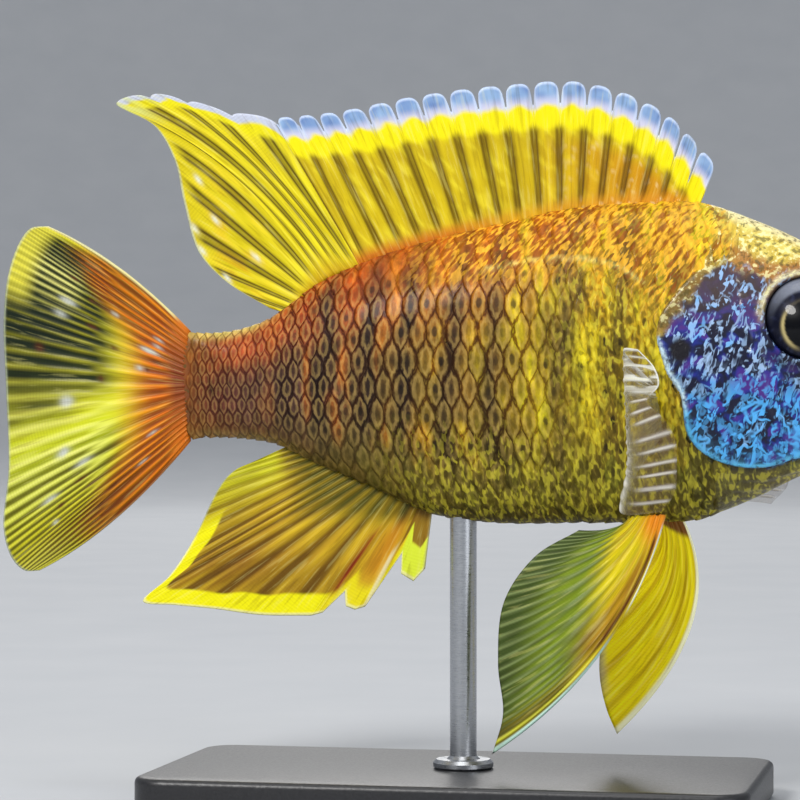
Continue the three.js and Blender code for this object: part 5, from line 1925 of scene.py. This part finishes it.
class PelvicFin(Fin):
    """Belly fin: a strong leading edge with a long tip, and a fan back to the belly."""

    rows = 100
    sunk = 1.3

    def __init__(self, side: Side) -> None:
        """Name the fin of one side."""
        name = f"pelvic_membrane_{side.word}"
        # The far belly fin lies in the shade of the near one and of the body, so it gets a glow of painted
        # light.
        super().__init__(
            name, (f"pelvic_fin_{side.word}",), "fin_yellow", flat=False, base_width=5, spread=24,
            rays=7, per_ray=18, glow=0.2 if side is Side.LEFT else 0.0,
        )
        self.side = side

    def grid(self) -> FinGrid:
        """Columns from the leading edge back."""
        share = self.shares()
        shape = PELVICS[self.side]
        front, rear, bow = (side_points(p, self.side) for p in (shape.front, shape.rear, shape.bow))
        root = between(front, rear, share[:, None]) + [0, 0, self.sunk]
        edge = Line(side_points(shape.edge, self.side)).at(share)
        bow = bow * (1 - 0.6 * share)[:, None]
        rows = np.broadcast_to(np.linspace(0, 1, self.rows), (len(share), self.rows))
        points = straight_columns(root, edge, bow, rows)
        ray = np.broadcast_to((share * self.rays)[:, None], rows.shape)
        below = (1 - rows) * lengths(root, edge)[:, None]
        ridge = branching(ray, rows, (0.35, 0.7), 2.2)
        below = np.minimum(below, self.from_sides(share, rows))
        return FinGrid(points, ray, rows, below, ridge)

    def paint(self, grid: FinGrid) -> Array:
        """Near fin green with yellow streaks and a maroon line, far fin bright yellow."""
        back = grid.ray / self.rays
        share = grid.share
        fine = Mottle(61).at(grid.ray * 5, share * 4)
        gap = branching(grid.ray + 0.5, share, (0.35, 0.7), 2.5)
        if self.side is Side.RIGHT:
            paint = Paint(back.shape, 242, 226, 14)
            paint.lay(206, 172, 20, fine)
            green = soft(share + 0.3 * back + 0.1 * fine, 0.52, 0.8) * soft(back, 0.06, 0.2)
            paint.lay(104, 136, 32, green * 0.9)
            paint.lay(40, 56, 28, soft(share + 0.35 * back, 0.86, 1.12) * 0.85)
            paint.lay(70, 62, 14, soft(share, 0.55, 0.75) * soft(back, 0.22, 0.08) * 0.8)
            paint.lay(38, 50, 14, gap * (0.35 + 0.5 * green))
            paint.lay(160, 178, 110, grid.ridge**2 * green * 0.6)
            paint.lay(232, 140, 24, soft(share, 0.2, 0.05) * soft(back, 0.7, 0.3))
            brown = hump(back, 0.2, 0.1) * span(share, 0.1, 0.25, 0.55, 0.75)
            paint.lay(158, 96, 18, 0.7 * brown)
            maroon = hump(back, 0.1, 0.05) * span(share, 0.06, 0.12, 0.48, 0.64)
            paint.lay(84, 18, 6, 0.95 * maroon)
            pale = soft(back, 0.04, 0.02) * span(share, 0.03, 0.08, 0.3, 0.38)
            paint.lay(238, 240, 218, pale)
            line = hump(back, 0.062, 0.012) * soft(share, 0.5, 0.62)
            paint.lay(206, 206, 60, line)
            paint.lay(190, 226, 210, soft(back, 0.038, 0.024) * soft(share, 0.42, 0.52))
            return paint.colours
        paint = Paint(back.shape, 250, 236, 14)
        paint.lay(236, 206, 16, fine * 0.7)
        stripe = soft(np.cos(2 * np.pi * (back * 5 + 0.1 * fine)), 0.35, 0.95)
        paint.lay(176, 122, 10, 0.5 * stripe * soft(share, 0.12, 0.3))
        paint.lay(190, 160, 16, 0.25 * gap)
        paint.lay(120, 74, 26, soft(share, 0.15, 0.11))
        paint.lay(248, 246, 200, soft(back, 0.06, 0.03))
        paint.lay(170, 160, 130, soft(share, 0.95, 0.99) * soft(back, 0.2, 0.4) * 0.7)
        paint.lay(226, 226, 204, soft(back, 0.93, 0.98) * soft(share, 0.7, 0.5))
        return paint.colours


# Stand


@dataclass
class Stand:
    """Flat base with rounded edges and one rod up to the belly."""

    body: BodyForm
    corner: float = 5.0
    bevel: float = 0.9
    rod_x: float = 0.4
    rod_radius: float = 2.0
    foot_radius: float = 4.5
    foot_height: float = 1.4
    turns: int = 72

    def build(self) -> None:
        """Make the base and the rod."""
        self._base()
        self._rod()

    def _base(self) -> None:
        """Base plate: its upright corners rounded wide, then its other edges a little."""
        low, high = (np.array(corner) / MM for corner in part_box("stand_base"))
        form = bmesh.new()
        bmesh.ops.create_cube(form, size=1)
        bmesh.ops.scale(form, verts=form.verts, vec=Vector((high - low) * MM))
        bmesh.ops.translate(form, verts=form.verts, vec=Vector((high + low) / 2 * MM))
        upright = [e for e in form.edges if abs((e.verts[0].co - e.verts[1].co).z) > 1e-6]
        self._round(form, upright, self.corner, 10)
        level = [e for e in form.edges if e.is_valid and e.calc_face_angle(0) > math.radians(60)]
        self._round(form, level, self.bevel, 4)
        mesh = keep_form(form, "display_base")
        piece = finish_piece(mesh, SATIN_BLACK.make(), ("stand_base",))
        piece.data.set_sharp_from_angle(angle=math.radians(40))

    def _round(self, form: Form, edges: list, offset: float, segments: int) -> None:
        """Bevel some edges."""
        bmesh.ops.bevel(
            form, geom=edges, offset=offset * MM, segments=segments, profile=0.5, affect="EDGES",
            material=-1, clamp_overlap=True,
        )

    def _rod(self) -> None:
        """Rod turned about its axis, with a stepped foot and its end sunk in the belly."""
        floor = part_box("stand_base")[1].z / MM
        top = float(self.body.measure("belly", np.array(self.rod_x))) + 0.8
        radius = self.rod_radius
        profile = [
            (0, floor), (self.foot_radius - 0.3, floor), (self.foot_radius, floor + 0.3),
            (self.foot_radius, floor + self.foot_height - 0.5),
            (self.foot_radius - 0.5, floor + self.foot_height), (radius + 0.5, floor + self.foot_height),
            (radius, floor + self.foot_height + 0.5), (radius, top), (0, top),
        ]
        profile = [(r * MM, z * MM) for r, z in profile]
        mesh = turned_mesh("display_rod", profile, self.rod_x * MM, self.turns)
        piece = finish_piece(mesh, BRUSHED_STEEL.make(), ("stand_rod",))
        piece.data.set_sharp_from_angle(angle=math.radians(35))


# Studio


@dataclass
class Studio:
    """Camera at the photo's view, a pale round floor that curves up, and soft lights."""

    lens: float = 135.0
    distance: float = 450.0
    turn: float = 12.0
    aim_x: float = -9.26
    aim_z: float = 60.45
    floor_radius: float = 1.3
    sweep: float = 1.3
    wall: float = 1.5
    sweep_steps: int = 24
    floor_turns: int = 96

    def camera(self) -> None:
        """Set up the camera."""
        data = bpy.data.cameras.new("view")
        data.lens = self.lens
        data.sensor_width = 36
        data.clip_start = 0.01
        data.clip_end = 50
        camera = bpy.data.objects.new("view", data)
        bpy.context.scene.collection.objects.link(camera)
        angle = math.radians(self.turn)
        aim = Vector((self.aim_x, 0, self.aim_z)) * MM
        offset = Vector((math.sin(angle), -math.cos(angle), 0)) * self.distance * MM
        camera.location = aim + offset
        camera.rotation_euler = (math.pi / 2, 0, angle)
        bpy.context.scene.camera = camera

    def room(self) -> None:
        """Floor that sweeps up into a wall all round."""
        profile = [(0.0, 0.0), (self.floor_radius, 0.0)]
        for step in range(1, self.sweep_steps + 1):
            angle = math.pi / 2 * step / self.sweep_steps
            profile.append((
                self.floor_radius + self.sweep * math.sin(angle),
                self.sweep * (1 - math.cos(angle)),
            ))
        profile.append((self.floor_radius + self.sweep, self.wall))
        mesh = turned_mesh("studio_floor", profile, 0.0, self.floor_turns)
        set_in_scene(mesh, PALE_PAPER.make())

    def light(self, name: str, place: tuple, size: float, power: float, colour: tuple) -> None:
        """One soft round light aimed at the fish."""
        data = bpy.data.lights.new(name, "AREA")
        data.shape = "DISK"
        data.size = size
        data.energy = power
        data.color = colour
        lamp = bpy.data.objects.new(name, data)
        lamp.location = place
        aim = Vector((0, 0, self.aim_z * MM)) - Vector(place)
        lamp.rotation_euler = aim.to_track_quat("-Z", "Y").to_euler()
        bpy.context.scene.collection.objects.link(lamp)

    def lights(self) -> None:
        """Soft key, fill, top and rim lights in a pale surround."""
        self.light("key", (-0.5, -1.1, 0.95), 0.42, 15, (1, 0.985, 0.96))
        self.light("fill", (1.0, -0.9, 0.35), 0.8, 4, (0.95, 0.97, 1))
        self.light("top", (0.0, -0.15, 1.4), 0.7, 5, (1, 1, 1))
        self.light("back", (-0.3, 1.2, 0.7), 0.8, 4, (1, 0.98, 0.95))
        world = bpy.data.worlds.new("surround")
        world.use_nodes = True
        background = world.node_tree.nodes["Background"]
        background.inputs["Color"].default_value = (0.92, 0.95, 1, 1)
        background.inputs["Strength"].default_value = 0.5
        bpy.context.scene.world = world
        bpy.context.scene.view_settings.view_transform = "Standard"


def main() -> None:
    """Build the model's looks piece by piece."""
    logging.basicConfig(level=logging.INFO, format="%(name)s: %(message)s")
    studio = Studio()
    studio.camera()
    body = BodyForm()
    markings = Markings(body)
    arcs = ArcMap(body)
    Skin(body, markings).build()
    for side in Side:
        ScaleCoat(side, arcs, markings).build()
        Eye(side, body).build()
        PectoralFin(side, body).build()
        PelvicFin(side).build()
    DorsalFin(body).build()
    AnalFin(body).build()
    CaudalFin().build()
    Stand(body).build()
    studio.room()
    studio.lights()


if __name__ == "__main__":
    main()
